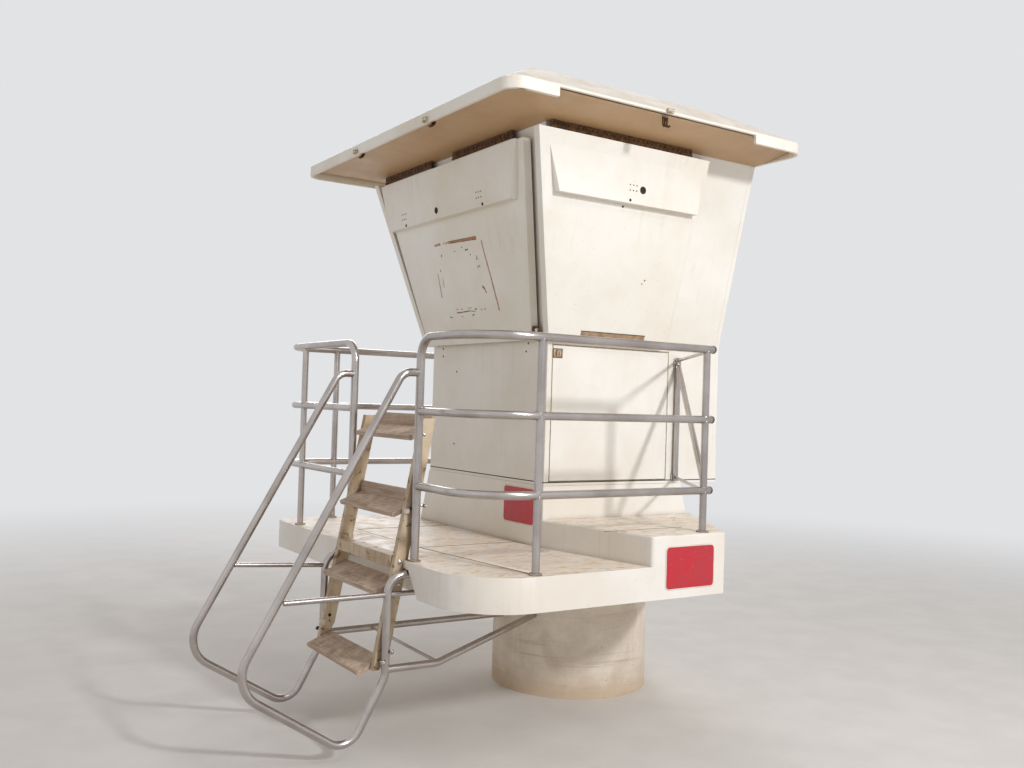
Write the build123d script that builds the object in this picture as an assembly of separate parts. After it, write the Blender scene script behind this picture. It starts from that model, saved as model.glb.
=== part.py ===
from build123d import *
import os
from math import radians, sin, tan

os.makedirs("parts", exist_ok=True)

# Frame: millimetres, origin on the ground at the pedestal's axis, +Z up,
# +X along the side with the half door, -X towards the ladder, +Y away from the half door.

# Pedestal
PEDESTAL_R = 457
PEDESTAL_TOP = 732
PEDESTAL_CHAMFER = 10

# Deck plan, shared by the slab and the raised walkway
DECK_TOP = 890
DECK_LEFT = -1478
DECK_NEAR = -1286
DECK_FAR = 1049
DECK_REAR = 431
NEAR_CHAMFER_X = -15
FAR_CHAMFER_X = 263
DECK_FAR_CORNER_R = 90
RAIL_INSET = 41
EDGE_R = 12

# Ladder opening in the deck's left edge
NOTCH_NEAR_TOP = -716
NOTCH_NEAR_BOTTOM = -815
NOTCH_FAR_TOP = 56
NOTCH_FAR_BOTTOM = 172
NOTCH_BACK = -1400
NOTCH_COVER = 35
NOTCH_ROOF = DECK_TOP - NOTCH_COVER

# Raised walkway, its left riser turned out from the cabin's corner
WALK_TOP = 1035
WALK_NEAR_LEFT = -484
WALK_CORNER_R = 18

# Cabin, lower square part
CAB_LEFT = -620
CAB_REAR = 620
CAB_NEAR = -570
CAB_FAR = 670
SKIN = 30
FLOOR_TOP = 1230
FLOOR_THICK = 18
FLARE_Z = 2010
BASE_REAR_TOP = 344
BASE_FAR_TOP = 681
BASE_FAR_BOTTOM = 778

# Cabin, flared upper part
CAB_TOP = 3040
FLARE_LEFT = 230
FLARE_SIDE = 250
RISE = CAB_TOP - FLARE_Z

# Half door in the near wall, with its gaps
DOOR_GAP = 6
DOOR_RIGHT = 222
DOOR_TOP = 1955
DOOR_SILL_GAP = 7
DOOR_PIN_R = 2.7

# Window openings
WINDOW_SILL = 65
WINDOW_HEAD = 110
WINDOW_BOTTOM = FLARE_Z + WINDOW_SILL
WINDOW_TOP = CAB_TOP - WINDOW_HEAD
SIDE_WINDOW_LEFT = -600
SIDE_WINDOW_RIGHT = 95
LEFT_WINDOW_NEAR = -420
LEFT_WINDOW_FAR = 550

# Roof
ROOF_LEFT = -1280
ROOF_REAR = 655
ROOF_NEAR = -1157
ROOF_FAR = 1257
EAVE_Z = 3048
FASCIA = 58
ROOF_CORNER_R = 100
SKIRT_RUN = 330
SKIRT_RISE = 182
ROOF_SKIN = 20
SOFFIT_EDGE_Z = 3090
SOFFIT_THICK = 10
EAVE_CUT_LEFT = -1007
EAVE_CUT_RIGHT = 268
EAVE_CUT = 45

# Shutters: offsets are measured level from the flared wall's outer face
FLAP_IN = 16
FLAP_OUT = 62
FLAP_LAP = 32
FLAP_BOTTOM = FLARE_Z - FLAP_LAP
SIDE_HEAD_GAP = 40
LEFT_HEAD_GAP = 60
FLAP_BEVEL = 10.5
SIDE_FLAP_LOW = (-655, 157)
SIDE_FLAP_HIGH = (-925, 215)
LEFT_FLAP_LOW = (-495, 640)
LEFT_FLAP_HIGH = (-693, 905)

# Wedges on the shutters: thickness and drop below the shutter's top, then both ends at lip and head
WEDGE = 45
LEFT_WEDGE_HEAD = 16
SIDE_WEDGE = ((0, 300), (WEDGE, 300), (0, 75))
LEFT_WEDGE = ((0, 288), (WEDGE, 288), (LEFT_WEDGE_HEAD, 0), (0, 0))
SIDE_WEDGE_LOW = (-771, 163)
SIDE_WEDGE_HIGH = (-845, 176)
LEFT_WEDGE_LOW = (-561, 822)
LEFT_WEDGE_HIGH = (-643, 897)

# Hinge strips that hang from the soffit
HINGE_OFF = 40
SIDE_HINGE_DROP = 28
LEFT_HINGE_DROP = 35
KNUCKLE_R = 6
HINGE_PLAY = 0.3
RIB_W = 8
LEAF_THICK = 4
SIDE_STRIP = (-840, 97)
LEFT_STRIPS = ((-572, 47), (294, 895))

# Guardrails
POST_X = DECK_LEFT + RAIL_INSET
NEAR_RAIL_Y = DECK_NEAR + RAIL_INSET
FAR_RAIL_Y = DECK_FAR - RAIL_INSET
RAIL_Z = (1240, 1590, 1938)
RAIL_D = 38
TOP_RAIL_D = 40
POST_D = 36
NEAR_CORNER_R = 285
FAR_CORNER_R = 140
RAIL_DROP_R = 100
LADDER_NEAR_POST_Y = -700
LADDER_FAR_POST_Y = 39
BACK_POST_Y = 745
CORNER_POST_X = -1125
END_POST_X = -130
RAIL_END_X = -90
FLANGE_R = 28
FLANGE_H = 10

# End frames that close the walkway beside the cabin
FRAME_X = 285
FRAME_BAR_W = 30
FRAME_BAR_T = 10
FRAME_OFF = 15
FRAME_LOW = 1246
FRAME_HIGH = 1930
ROD_D = 18
BRACE_D = 30

# Handrail loops beside the ladder, drawn in the plane of each ladder post
LOOP_D = 38
LOOP_END_DROP = 24
LOOP_END_Z = NOTCH_ROOF - LOOP_END_DROP
LOOP_HEAD = (-1526, 1771)
LOOP_OUT = (-2289, 401)
LOOP_TOE = (-1742, 46)
LOOP_RISER = (-1570, 367)
LOOP_BENDS = (70, 150, 100, 90, 85)
FAR_LOOP_LIFT = 16

# Struts inside the loops, below the loops' upper ends
STRUT_D = 25
NEAR_STRUT_X = -2068
NEAR_STRUT_DROP = 87
FAR_STRUT_X = -2050
FAR_STRUT_DROPS = (33, 63)

# Braces from the loops to the pedestal
LOOP_BRACE_D = 36
NEAR_BRACE_Z = 401
FAR_BRACE_Z = 417
NEAR_BRACE_KNEE_X = -1298
NEAR_BRACE_KNEE_R = 80
NEAR_BRACE_END = (-350, -180, 455)
FAR_BRACE_END_X = -400
TIE_X = -1290
TIE_D = 16

# Ladder
STRINGER_T = 35
NEAR_STRINGER_Y = -650
FAR_STRINGER_Y = -10
STRINGER_LOW = (-1617, 390)
STRINGER_HIGH = (-1395, 1556)
STRINGER_W = 68
STRINGER_TIP = 33
STRINGER_TAPER_Z = 480
TREADS = 4
TREAD_X0 = -1680
TREAD_Z0 = 376
TREAD_STEP_X = 77
TREAD_STEP_Z = 361
TREAD_DEPTH = 140
TREAD_THICK = 24
TREAD_TILT = 22
LANDING_OUT = 52
LANDING_LAP = 17
LANDING_LOW = 855
LANDING_HIGH = 913

# Plates
PLATE_T = 3
PLATE_R = 18


def save(name, *solids):
    """Write one node, made of one solid or of several that don't touch."""
    shape = solids[0] if len(solids) == 1 else Compound(children=list(solids))
    export_step(shape, f"parts/{name}.step")


def box(x0, x1, y0, y1, z0, z1):
    return Pos((x0 + x1) / 2, (y0 + y1) / 2, (z0 + z1) / 2) * Box(x1 - x0, y1 - y0, z1 - z0)


def block(first, second):
    """Solid with flat faces between two polygons that have the same number of corners."""
    faces = [Face(Wire.make_polygon(first)), Face(Wire.make_polygon(second))]
    for i in range(len(first)):
        j = (i + 1) % len(first)
        faces.append(Face(Wire.make_polygon([first[i], first[j], second[j], second[i]])))
    return Solid(Shell(faces))


def along_y(points, y0, y1):
    """Polygon given as (x, z) points, run from y0 to y1."""
    return block([(x, y0, z) for x, z in points], [(x, y1, z) for x, z in points])


def along_x(points, x0, x1):
    """Polygon given as (y, z) points, run from x0 to x1."""
    return block([(x0, y, z) for y, z in points], [(x1, y, z) for y, z in points])


def bar(start, end, diameter):
    """Straight round bar between two points."""
    line = Vector(*end) - Vector(*start)
    return Solid.make_cylinder(diameter / 2, line.length, Plane(origin=start, z_dir=line))


def bent_bar(points, bends, diameter):
    """Round bar along straight runs, with one bend radius for each inner point."""
    corners = [Vector(*p) for p in points]
    edges = []
    start = corners[0]
    for i, radius in enumerate(bends, 1):
        back = (corners[i - 1] - corners[i]).normalized()
        ahead = (corners[i + 1] - corners[i]).normalized()
        half = radians(back.get_angle(ahead)) / 2
        run = radius / tan(half)
        middle = corners[i] + (back + ahead).normalized() * (radius / sin(half) - radius)
        edges.append(Edge.make_line(start, corners[i] + back * run))
        edges.append(Edge.make_three_point_arc(corners[i] + back * run, middle, corners[i] + ahead * run))
        start = corners[i] + ahead * run
    edges.append(Edge.make_line(start, corners[-1]))
    section = Plane(origin=corners[0], z_dir=corners[1] - corners[0]) * Circle(diameter / 2)
    return sweep(section, path=Wire(edges))


def rounded_slab(x0, x1, y0, y1, radius, z0, z1):
    """Upright slab with rounded corners in plan."""
    plan = RectangleRounded(x1 - x0, y1 - y0, radius)
    return extrude(Pos((x0 + x1) / 2, (y0 + y1) / 2, z0) * plan, z1 - z0)


def tapered_slab(low, high, z0, z1):
    """Ruled solid between two rounded rectangles, each (x0, x1, y0, y1, radius)."""
    ends = []
    for (x0, x1, y0, y1, radius), z in ((low, z0), (high, z1)):
        ends.append(Pos((x0 + x1) / 2, (y0 + y1) / 2, z) * RectangleRounded(x1 - x0, y1 - y0, radius))
    return loft(ends, ruled=True)


def pieces(shape):
    return list(shape.solids())


# Pedestal, a round concrete drum on the ground
drum = Solid.make_cylinder(PEDESTAL_R, PEDESTAL_TOP)
pedestal = chamfer(drum.edges().group_by(Axis.Z)[-1], PEDESTAL_CHAMFER)
save("pedestal", pedestal)


# Deck slab with rounded left corners, cut away under its left edge for the ladder
stringer_slope = (STRINGER_HIGH[0] - STRINGER_LOW[0]) / (STRINGER_HIGH[1] - STRINGER_LOW[1])
plan = Polyline(
    (DECK_LEFT, DECK_NEAR),
    (NEAR_CHAMFER_X, DECK_NEAR),
    (DECK_REAR, CAB_NEAR),
    (DECK_REAR, BASE_FAR_BOTTOM),
    (FAR_CHAMFER_X, DECK_FAR),
    (DECK_LEFT, DECK_FAR),
    close=True,
)
deck_face = make_face(plan)
for end, radius in ((0, NEAR_CORNER_R + RAIL_INSET), (-1, DECK_FAR_CORNER_R)):
    corner = deck_face.vertices().group_by(Axis.X)[0].sort_by(Axis.Y)[end]
    deck_face = fillet(corner, radius)
lower_deck = extrude(Pos(0, 0, PEDESTAL_TOP) * deck_face, DECK_TOP - PEDESTAL_TOP)
notch = along_x(
    [
        (NOTCH_NEAR_TOP, NOTCH_ROOF),
        (NOTCH_NEAR_BOTTOM, PEDESTAL_TOP - 1),
        (NOTCH_FAR_BOTTOM, PEDESTAL_TOP - 1),
        (NOTCH_FAR_TOP, NOTCH_ROOF),
    ],
    DECK_LEFT - 1,
    NOTCH_BACK,
)
lower_deck = lower_deck - notch
slot_reach = STRINGER_LOW[0] + STRINGER_W + stringer_slope * (DECK_TOP - STRINGER_LOW[1])
for y in (NEAR_STRINGER_Y, FAR_STRINGER_Y):
    half = STRINGER_T / 2
    lower_deck = lower_deck - box(DECK_LEFT - 1, slot_reach, y - half, y + half, NOTCH_ROOF - 1, DECK_TOP + 1)
save("lower_deck", lower_deck)


# Raised walkway in front of the half door, flush with the deck's near edge
walk_face = make_face(
    Polyline(
        (WALK_NEAR_LEFT, DECK_NEAR),
        (NEAR_CHAMFER_X, DECK_NEAR),
        (DECK_REAR, CAB_NEAR),
        (CAB_LEFT, CAB_NEAR),
        close=True,
    )
)
walk_corner = walk_face.vertices().group_by(Axis.Y)[0].sort_by(Axis.X)[0]
walk_face = fillet(walk_corner, WALK_CORNER_R)
raised_walkway = extrude(Pos(0, 0, DECK_TOP) * walk_face, WALK_TOP - DECK_TOP)
walk_edges = raised_walkway.edges().group_by(Axis.Z)[-1].filter_by(lambda e: e.center().Y < CAB_NEAR - 1)
raised_walkway = fillet(walk_edges, EDGE_R)
save("raised_walkway", raised_walkway)


# Cabin base, upright on the deck side and sloping in at the rear and far side
base_bottom = [
    (CAB_LEFT, CAB_NEAR, DECK_TOP),
    (DECK_REAR, CAB_NEAR, DECK_TOP),
    (DECK_REAR, BASE_FAR_BOTTOM, DECK_TOP),
    (CAB_LEFT, BASE_FAR_BOTTOM, DECK_TOP),
]
base_z = FLOOR_TOP - FLOOR_THICK
base_top = [
    (CAB_LEFT, CAB_NEAR, base_z),
    (BASE_REAR_TOP, CAB_NEAR, base_z),
    (BASE_REAR_TOP, BASE_FAR_TOP, base_z),
    (CAB_LEFT, BASE_FAR_TOP, base_z),
]
save("cabin_base", block(base_bottom, base_top))
save("cabin_floor", box(CAB_LEFT, CAB_REAR, CAB_NEAR, CAB_FAR, base_z, FLOOR_TOP))


# Lower walls: the left and rear walls run through, the near and far walls stand between them
inner_left = CAB_LEFT + SKIN
inner_rear = CAB_REAR - SKIN
save("left_wall_lower", box(CAB_LEFT, inner_left, CAB_NEAR, CAB_FAR, FLOOR_TOP, FLARE_Z))
save("far_wall_lower", box(inner_left, inner_rear, CAB_FAR - SKIN, CAB_FAR, FLOOR_TOP, FLARE_Z))
rear_outline = [
    (CAB_NEAR, FLOOR_TOP),
    (CAB_FAR, FLOOR_TOP),
    (CAB_FAR, FLARE_Z),
    (CAB_FAR + FLARE_SIDE, CAB_TOP),
    (CAB_NEAR - FLARE_SIDE, CAB_TOP),
    (CAB_NEAR, FLARE_Z),
]
save("rear_wall", along_x(rear_outline, inner_rear, CAB_REAR))
band_left = DOOR_RIGHT + DOOR_GAP
band = box(band_left, inner_rear, CAB_NEAR, CAB_NEAR + SKIN, FLOOR_TOP, FLARE_Z)
pin_x = (DOOR_RIGHT + band_left) / 2
pin_y = CAB_NEAR + SKIN
pin_low = FLOOR_TOP + 20
pin_high = DOOR_TOP - 15
pin = bar((pin_x, pin_y, pin_low), (pin_x, pin_y, pin_high), 2 * DOOR_PIN_R)
web = box(pin_x, band_left, pin_y - 2, pin_y, pin_low, pin_high)
save("near_wall_band", band + web + pin)


def flared_panel(low_out, low_in, high_out, high_in):
    """Sloping wall panel between four (x, y) corner pairs at its bottom and top."""
    low = [(x, y, FLARE_Z) for x, y in (low_out[0], low_out[1], low_in[1], low_in[0])]
    high = [(x, y, CAB_TOP) for x, y in (high_out[0], high_out[1], high_in[1], high_in[0])]
    return block(low, high)


top_left = CAB_LEFT - FLARE_LEFT
top_near = CAB_NEAR - FLARE_SIDE
top_far = CAB_FAR + FLARE_SIDE

left_upper = flared_panel(
    ((CAB_LEFT, CAB_NEAR), (CAB_LEFT, CAB_FAR)),
    ((inner_left, CAB_NEAR + SKIN), (inner_left, CAB_FAR - SKIN)),
    ((top_left, top_near), (top_left, top_far)),
    ((top_left + SKIN, top_near + SKIN), (top_left + SKIN, top_far - SKIN)),
)
left_upper = left_upper - box(
    top_left - 1, inner_left + 1, LEFT_WINDOW_NEAR, LEFT_WINDOW_FAR, WINDOW_BOTTOM, WINDOW_TOP
)
save("left_wall_upper", left_upper)

near_upper = flared_panel(
    ((CAB_LEFT, CAB_NEAR), (inner_rear, CAB_NEAR)),
    ((inner_left, CAB_NEAR + SKIN), (inner_rear, CAB_NEAR + SKIN)),
    ((top_left, top_near), (inner_rear, top_near)),
    ((top_left + SKIN, top_near + SKIN), (inner_rear, top_near + SKIN)),
)
near_upper = near_upper - box(
    SIDE_WINDOW_LEFT, SIDE_WINDOW_RIGHT, top_near - 1, CAB_NEAR + SKIN + 1, WINDOW_BOTTOM, WINDOW_TOP
)
door_head = box(inner_left, band_left, CAB_NEAR, CAB_NEAR + SKIN, DOOR_TOP + DOOR_GAP, FLARE_Z)
save("near_wall_upper", near_upper + door_head)

far_upper = flared_panel(
    ((CAB_LEFT, CAB_FAR), (inner_rear, CAB_FAR)),
    ((inner_left, CAB_FAR - SKIN), (inner_rear, CAB_FAR - SKIN)),
    ((top_left, top_far), (inner_rear, top_far)),
    ((top_left + SKIN, top_far - SKIN), (inner_rear, top_far - SKIN)),
)
far_upper = far_upper - box(
    SIDE_WINDOW_LEFT, SIDE_WINDOW_RIGHT, CAB_FAR - SKIN - 1, top_far + 1, WINDOW_BOTTOM, WINDOW_TOP
)
save("far_wall_upper", far_upper)


# Half door, flush in the near wall, hinged at its right edge on the inner face
door_left = inner_left + DOOR_GAP
side_door = box(door_left, DOOR_RIGHT, CAB_NEAR, CAB_NEAR + SKIN, FLOOR_TOP + DOOR_SILL_GAP, DOOR_TOP)
save("side_door", side_door)


# Roof shell: upright fascia, sloping skirt and flat top, hollow below
skirt_z = EAVE_Z + FASCIA
roof_z = skirt_z + SKIRT_RISE


def roof_plan(inset, radius):
    return (ROOF_LEFT + inset, ROOF_REAR - inset, ROOF_NEAR + inset, ROOF_FAR - inset, radius)


outer_roof = rounded_slab(*roof_plan(0, ROOF_CORNER_R), EAVE_Z, skirt_z) + tapered_slab(
    roof_plan(0, ROOF_CORNER_R), roof_plan(SKIRT_RUN, ROOF_CORNER_R / 2), skirt_z, roof_z
)
inner_r = ROOF_CORNER_R - ROOF_SKIN
inner_roof = rounded_slab(*roof_plan(ROOF_SKIN, inner_r), EAVE_Z - 1, skirt_z) + tapered_slab(
    roof_plan(ROOF_SKIN, inner_r),
    roof_plan(SKIRT_RUN + ROOF_SKIN, inner_r / 2),
    skirt_z,
    roof_z - ROOF_SKIN,
)
eave_cut = box(EAVE_CUT_LEFT, EAVE_CUT_RIGHT, ROOF_NEAR - 1, ROOF_NEAR + ROOF_SKIN + 1, EAVE_Z - 1, EAVE_Z + EAVE_CUT)
save("roof_shell", outer_roof - inner_roof - eave_cut)

# Soffit: a shallow tray that rests on the walls and rises to the inside of the fascia
tray_low = [
    (top_left, top_near, CAB_TOP),
    (CAB_REAR, top_near, CAB_TOP),
    (CAB_REAR, top_far, CAB_TOP),
    (top_left, top_far, CAB_TOP),
]
x0, x1, y0, y1, _ = roof_plan(ROOF_SKIN, inner_r)
tray_high = [(x, y, SOFFIT_EDGE_Z) for x, y in ((x0, y0), (x1, y0), (x1, y1), (x0, y1))]
tray = block(tray_low, tray_high)
soffit = (tray - Pos(0, 0, SOFFIT_THICK) * tray) & rounded_slab(
    *roof_plan(ROOF_SKIN, inner_r), CAB_TOP - 1, SOFFIT_EDGE_Z + 1
)
save("soffit", soffit)


def side_point(sign):
    """Point on the near (-1) or far (+1) flared wall from (along, off, z)."""
    edge = CAB_NEAR if sign < 0 else CAB_FAR

    def at(along, off, z):
        return (along, edge + sign * (off + FLARE_SIDE * (z - FLARE_Z) / RISE), z)

    return at


def left_point(along, off, z):
    return (CAB_LEFT - off - FLARE_LEFT * (z - FLARE_Z) / RISE, along, z)


def slanted(at, outline, low, high):
    """Solid with a constant (off, z) outline; low and high are both ends along the wall at its two heights."""
    heights = [z for _, z in outline]
    z0, z1 = min(heights), max(heights)
    ends = []
    for side in (0, 1):
        slope = (high[side] - low[side]) / (z1 - z0)
        ends.append([at(low[side] + slope * (z - z0), off, z) for off, z in outline])
    return block(*ends)


def flap(at, top, low, high, wedge, wedge_low, wedge_high, hinge_z, strips):
    """Shutter with a body along the wall, a wedge that thickens downwards and ribs under its knuckles."""
    outline = (
        (FLAP_OUT, FLAP_BOTTOM),
        (FLAP_IN, FLAP_BOTTOM + FLAP_BEVEL),
        (FLAP_IN, top),
        (FLAP_OUT, top),
    )
    body = slanted(at, outline, low, high)
    wedge_outline = [(FLAP_OUT + thick, top - drop) for thick, drop in wedge]
    body = body + slanted(at, wedge_outline, wedge_low, wedge_high)
    rib_in = HINGE_OFF - RIB_W / 2
    rib_out = HINGE_OFF + RIB_W / 2
    rib_top = hinge_z - KNUCKLE_R - HINGE_PLAY
    rib = ((rib_in, top), (rib_out, top), (rib_out, rib_top), (rib_in, rib_top))
    for strip in strips:
        body = body + slanted(at, rib, strip, strip)
    return body


side_hinge_z = CAB_TOP - SIDE_HINGE_DROP
left_hinge_z = CAB_TOP - LEFT_HINGE_DROP
side_flap = (
    CAB_TOP - SIDE_HEAD_GAP,
    SIDE_FLAP_LOW,
    SIDE_FLAP_HIGH,
    SIDE_WEDGE,
    SIDE_WEDGE_LOW,
    SIDE_WEDGE_HIGH,
    side_hinge_z,
    (SIDE_STRIP,),
)
left_flap = (
    CAB_TOP - LEFT_HEAD_GAP,
    LEFT_FLAP_LOW,
    LEFT_FLAP_HIGH,
    LEFT_WEDGE,
    LEFT_WEDGE_LOW,
    LEFT_WEDGE_HIGH,
    left_hinge_z,
    LEFT_STRIPS,
)
save("near_shutter", flap(side_point(-1), *side_flap))
save("far_shutter", flap(side_point(1), *side_flap))
save("left_shutter", flap(left_point, *left_flap))


def hinge_strip(at, ends, hinge_z, run):
    """Upright leaf from the soffit down to its knuckle; run is the soffit's level width."""
    outline = []
    for along in ends:
        edge = Vector(*at(along, 0, CAB_TOP))
        feet = []
        heads = []
        for off in (HINGE_OFF - LEAF_THICK / 2, HINGE_OFF + LEAF_THICK / 2):
            x, y, z = at(along, off, hinge_z)
            reach = (Vector(x, y, CAB_TOP) - edge).length
            feet.append((x, y, z))
            heads.append((x, y, CAB_TOP + (SOFFIT_EDGE_Z - CAB_TOP) * reach / run))
        outline.append(feet + heads[::-1])
    first = at(ends[0], HINGE_OFF, hinge_z)
    second = at(ends[1], HINGE_OFF, hinge_z)
    return block(*outline) + bar(first, second, 2 * KNUCKLE_R)


side_run = top_near - (ROOF_NEAR + ROOF_SKIN)
left_run = top_left - (ROOF_LEFT + ROOF_SKIN)
strips = [hinge_strip(side_point(sign), SIDE_STRIP, side_hinge_z, side_run) for sign in (-1, 1)]
strips += [hinge_strip(left_point, ends, left_hinge_z, left_run) for ends in LEFT_STRIPS]
save("hinge_strips", *strips)

# Catches on the fascia that hold the raised shutters
catches = [
    box(-363, -323, ROOF_NEAR - 14, ROOF_NEAR, 3096, 3116),
    box(ROOF_LEFT - 14, ROOF_LEFT, -394, -354, 3052, 3076),
    box(ROOF_LEFT - 14, ROOF_LEFT, 453, 493, 3052, 3076),
]
save("fascia_catches", *catches)


# Guardrails: the top rail comes down to the deck beside the ladder as the first post
def guardrail(side, rail_y, post_y, corner_r, posts_at):
    """Save the three rails and the posts of one side; posts_at holds (x, y, z) of each foot."""
    top = bent_bar(
        [
            (POST_X, post_y, DECK_TOP),
            (POST_X, post_y, RAIL_Z[2]),
            (POST_X, rail_y, RAIL_Z[2]),
            (RAIL_END_X, rail_y, RAIL_Z[2]),
        ],
        (RAIL_DROP_R, corner_r),
        TOP_RAIL_D,
    )
    rails = []
    for z in RAIL_Z[:2]:
        rail = bent_bar(
            [(POST_X, post_y, z), (POST_X, rail_y, z), (RAIL_END_X, rail_y, z)], (corner_r,), RAIL_D
        )
        trimmed = pieces(rail - top)
        rails.append(max(trimmed, key=lambda s: s.volume))
    posts = []
    for x, y, z in posts_at:
        post = bar((x, y, z), (x, y, RAIL_Z[2]), POST_D)
        for rail in (top, *rails):
            post = post - rail
        posts += [s for s in pieces(post) if s.volume > 1000]
    for x, y, z in (*posts_at, (POST_X, post_y, DECK_TOP)):
        ring = Solid.make_cylinder(FLANGE_R, FLANGE_H, Plane((x, y, z)))
        rod = bar((x, y, z - 1), (x, y, z + FLANGE_H + 1), TOP_RAIL_D if y == post_y else POST_D)
        posts += pieces(ring - rod)
    save(f"{side}_top_rail", top)
    save(f"{side}_middle_rail", rails[1])
    save(f"{side}_bottom_rail", rails[0])
    save(f"{side}_posts", *posts)
    return top, rails, posts


near_posts_at = [(CORNER_POST_X, NEAR_RAIL_Y, DECK_TOP), (END_POST_X, NEAR_RAIL_Y, WALK_TOP)]
near_top, near_rails, near_posts = guardrail(
    "near", NEAR_RAIL_Y, LADDER_NEAR_POST_Y, NEAR_CORNER_R, near_posts_at
)
far_posts_at = [
    (POST_X, BACK_POST_Y, DECK_TOP),
    (CORNER_POST_X, FAR_RAIL_Y, DECK_TOP),
    (END_POST_X, FAR_RAIL_Y, DECK_TOP),
]
far_top, far_rails, far_posts = guardrail(
    "far", FAR_RAIL_Y, LADDER_FAR_POST_Y, FAR_CORNER_R, far_posts_at
)


# End frames: a flat bar on the cabin wall, two level rods and a diagonal brace to the end post
def end_frame(sign, wall_y, rail_y, cutters):
    face = wall_y + sign * FRAME_OFF
    back = face + sign * FRAME_BAR_T
    low_y, high_y = sorted((face, back))
    flat = box(
        FRAME_X - FRAME_BAR_W / 2, FRAME_X + FRAME_BAR_W / 2, low_y, high_y, FRAME_LOW - 20, FRAME_HIGH
    )
    low_y, high_y = sorted((wall_y, face))
    for z in (FRAME_LOW, FRAME_HIGH - 40):
        flat = flat + box(FRAME_X - 22, FRAME_X + 22, low_y, high_y, z - 20, z + 20)
    middle = face + sign * FRAME_BAR_T / 2
    frame = flat
    for z_wall, z_post, size in ((1915, 1925, ROD_D), (1246, 1240, ROD_D), (1880, 1275, BRACE_D)):
        frame = frame + bar((FRAME_X, middle, z_wall), (END_POST_X, rail_y, z_post), size)
    for cutter in cutters:
        frame = frame - cutter
    solids = pieces(frame)
    return max(solids, key=lambda s: s.volume)


save("near_end_frame", end_frame(-1, CAB_NEAR, NEAR_RAIL_Y, (near_top, *near_rails, *near_posts)))
save("far_end_frame", end_frame(1, CAB_FAR, FAR_RAIL_Y, (far_top, *far_rails, *far_posts)))


# Handrail loops: out from the post, down the ladder's slope, round its foot and back up to the deck
def loop(y, lift):
    points = [
        (POST_X, y, LOOP_HEAD[1]),
        (LOOP_HEAD[0], y, LOOP_HEAD[1]),
        (LOOP_OUT[0], y, LOOP_OUT[1]),
        (LOOP_TOE[0], y, LOOP_TOE[1] + lift),
        (LOOP_RISER[0], y, LOOP_RISER[1] + lift),
        (LOOP_RISER[0], y, LOOP_END_Z),
        (NOTCH_BACK, y, LOOP_END_Z),
    ]
    return bent_bar(points, LOOP_BENDS, LOOP_D)


near_loop = max(pieces(loop(LADDER_NEAR_POST_Y, 0) - near_top), key=lambda s: s.volume)
far_loop = max(pieces(loop(LADDER_FAR_POST_Y, FAR_LOOP_LIFT) - far_top), key=lambda s: s.volume)
save("near_handrail_loop", near_loop)
save("far_handrail_loop", far_loop)

# Level struts inside the loops
near_strut_z = LOOP_END_Z - NEAR_STRUT_DROP
near_strut = bar(
    (NEAR_STRUT_X, LADDER_NEAR_POST_Y, near_strut_z), (NOTCH_BACK, LADDER_NEAR_POST_Y, near_strut_z), STRUT_D
)
far_strut = bar(
    (FAR_STRUT_X, LADDER_FAR_POST_Y, LOOP_END_Z - FAR_STRUT_DROPS[0]),
    (LOOP_RISER[0], LADDER_FAR_POST_Y, LOOP_END_Z - FAR_STRUT_DROPS[1]),
    STRUT_D,
)
struts = [s for s in pieces(near_strut - near_loop) + pieces(far_strut - far_loop) if s.volume > 5000]
save("loop_struts", *struts)

# Braces from the loops to the pedestal, tied together
near_brace = bent_bar(
    [
        (LOOP_RISER[0], LADDER_NEAR_POST_Y, NEAR_BRACE_Z),
        (NEAR_BRACE_KNEE_X, LADDER_NEAR_POST_Y, NEAR_BRACE_Z),
        NEAR_BRACE_END,
    ],
    (NEAR_BRACE_KNEE_R,),
    LOOP_BRACE_D,
)
far_brace = bar(
    (LOOP_RISER[0], LADDER_FAR_POST_Y, FAR_BRACE_Z), (FAR_BRACE_END_X, LADDER_FAR_POST_Y, FAR_BRACE_Z), LOOP_BRACE_D
)
near_brace = max(pieces(near_brace - near_loop - drum), key=lambda s: s.volume)
far_brace = max(pieces(far_brace - far_loop - drum), key=lambda s: s.volume)
tie = bar((TIE_X, LADDER_NEAR_POST_Y + 8, NEAR_BRACE_Z + 1), (TIE_X, LADDER_FAR_POST_Y, FAR_BRACE_Z), TIE_D)
tie = max(pieces(tie - near_brace - far_brace), key=lambda s: s.volume)
save("near_brace", near_brace)
save("far_brace", far_brace)
save("brace_tie", tie)


# Ladder stringers, tapered at the foot
low_x, low_z = STRINGER_LOW
high_x, high_z = STRINGER_HIGH
taper_x = low_x + stringer_slope * (STRINGER_TAPER_Z - low_z) + STRINGER_W
stringer_outline = [
    (low_x, low_z),
    (low_x + STRINGER_TIP, low_z),
    (taper_x, STRINGER_TAPER_Z),
    (high_x + STRINGER_W, high_z),
    (high_x, high_z),
]
for name, y in (("near_stringer", NEAR_STRINGER_Y), ("far_stringer", FAR_STRINGER_Y)):
    save(name, along_y(stringer_outline, y - STRINGER_T / 2, y + STRINGER_T / 2))

# Treads between the stringers, tilted up towards the deck
tread_near = NEAR_STRINGER_Y + STRINGER_T / 2
tread_far = FAR_STRINGER_Y - STRINGER_T / 2
for i in range(TREADS):
    at = Pos(TREAD_X0 + i * TREAD_STEP_X, (tread_near + tread_far) / 2, TREAD_Z0 + i * TREAD_STEP_Z)
    board = Pos(TREAD_DEPTH / 2, 0, 0) * Box(TREAD_DEPTH, tread_far - tread_near, TREAD_THICK)
    nose = board.edges().filter_by(Axis.Y).group_by(Axis.X)[0]
    board = at * Rot(0, -TREAD_TILT, 0) * fillet(nose, TREAD_THICK / 3)
    save(f"tread_{i + 1}", board)

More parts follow.
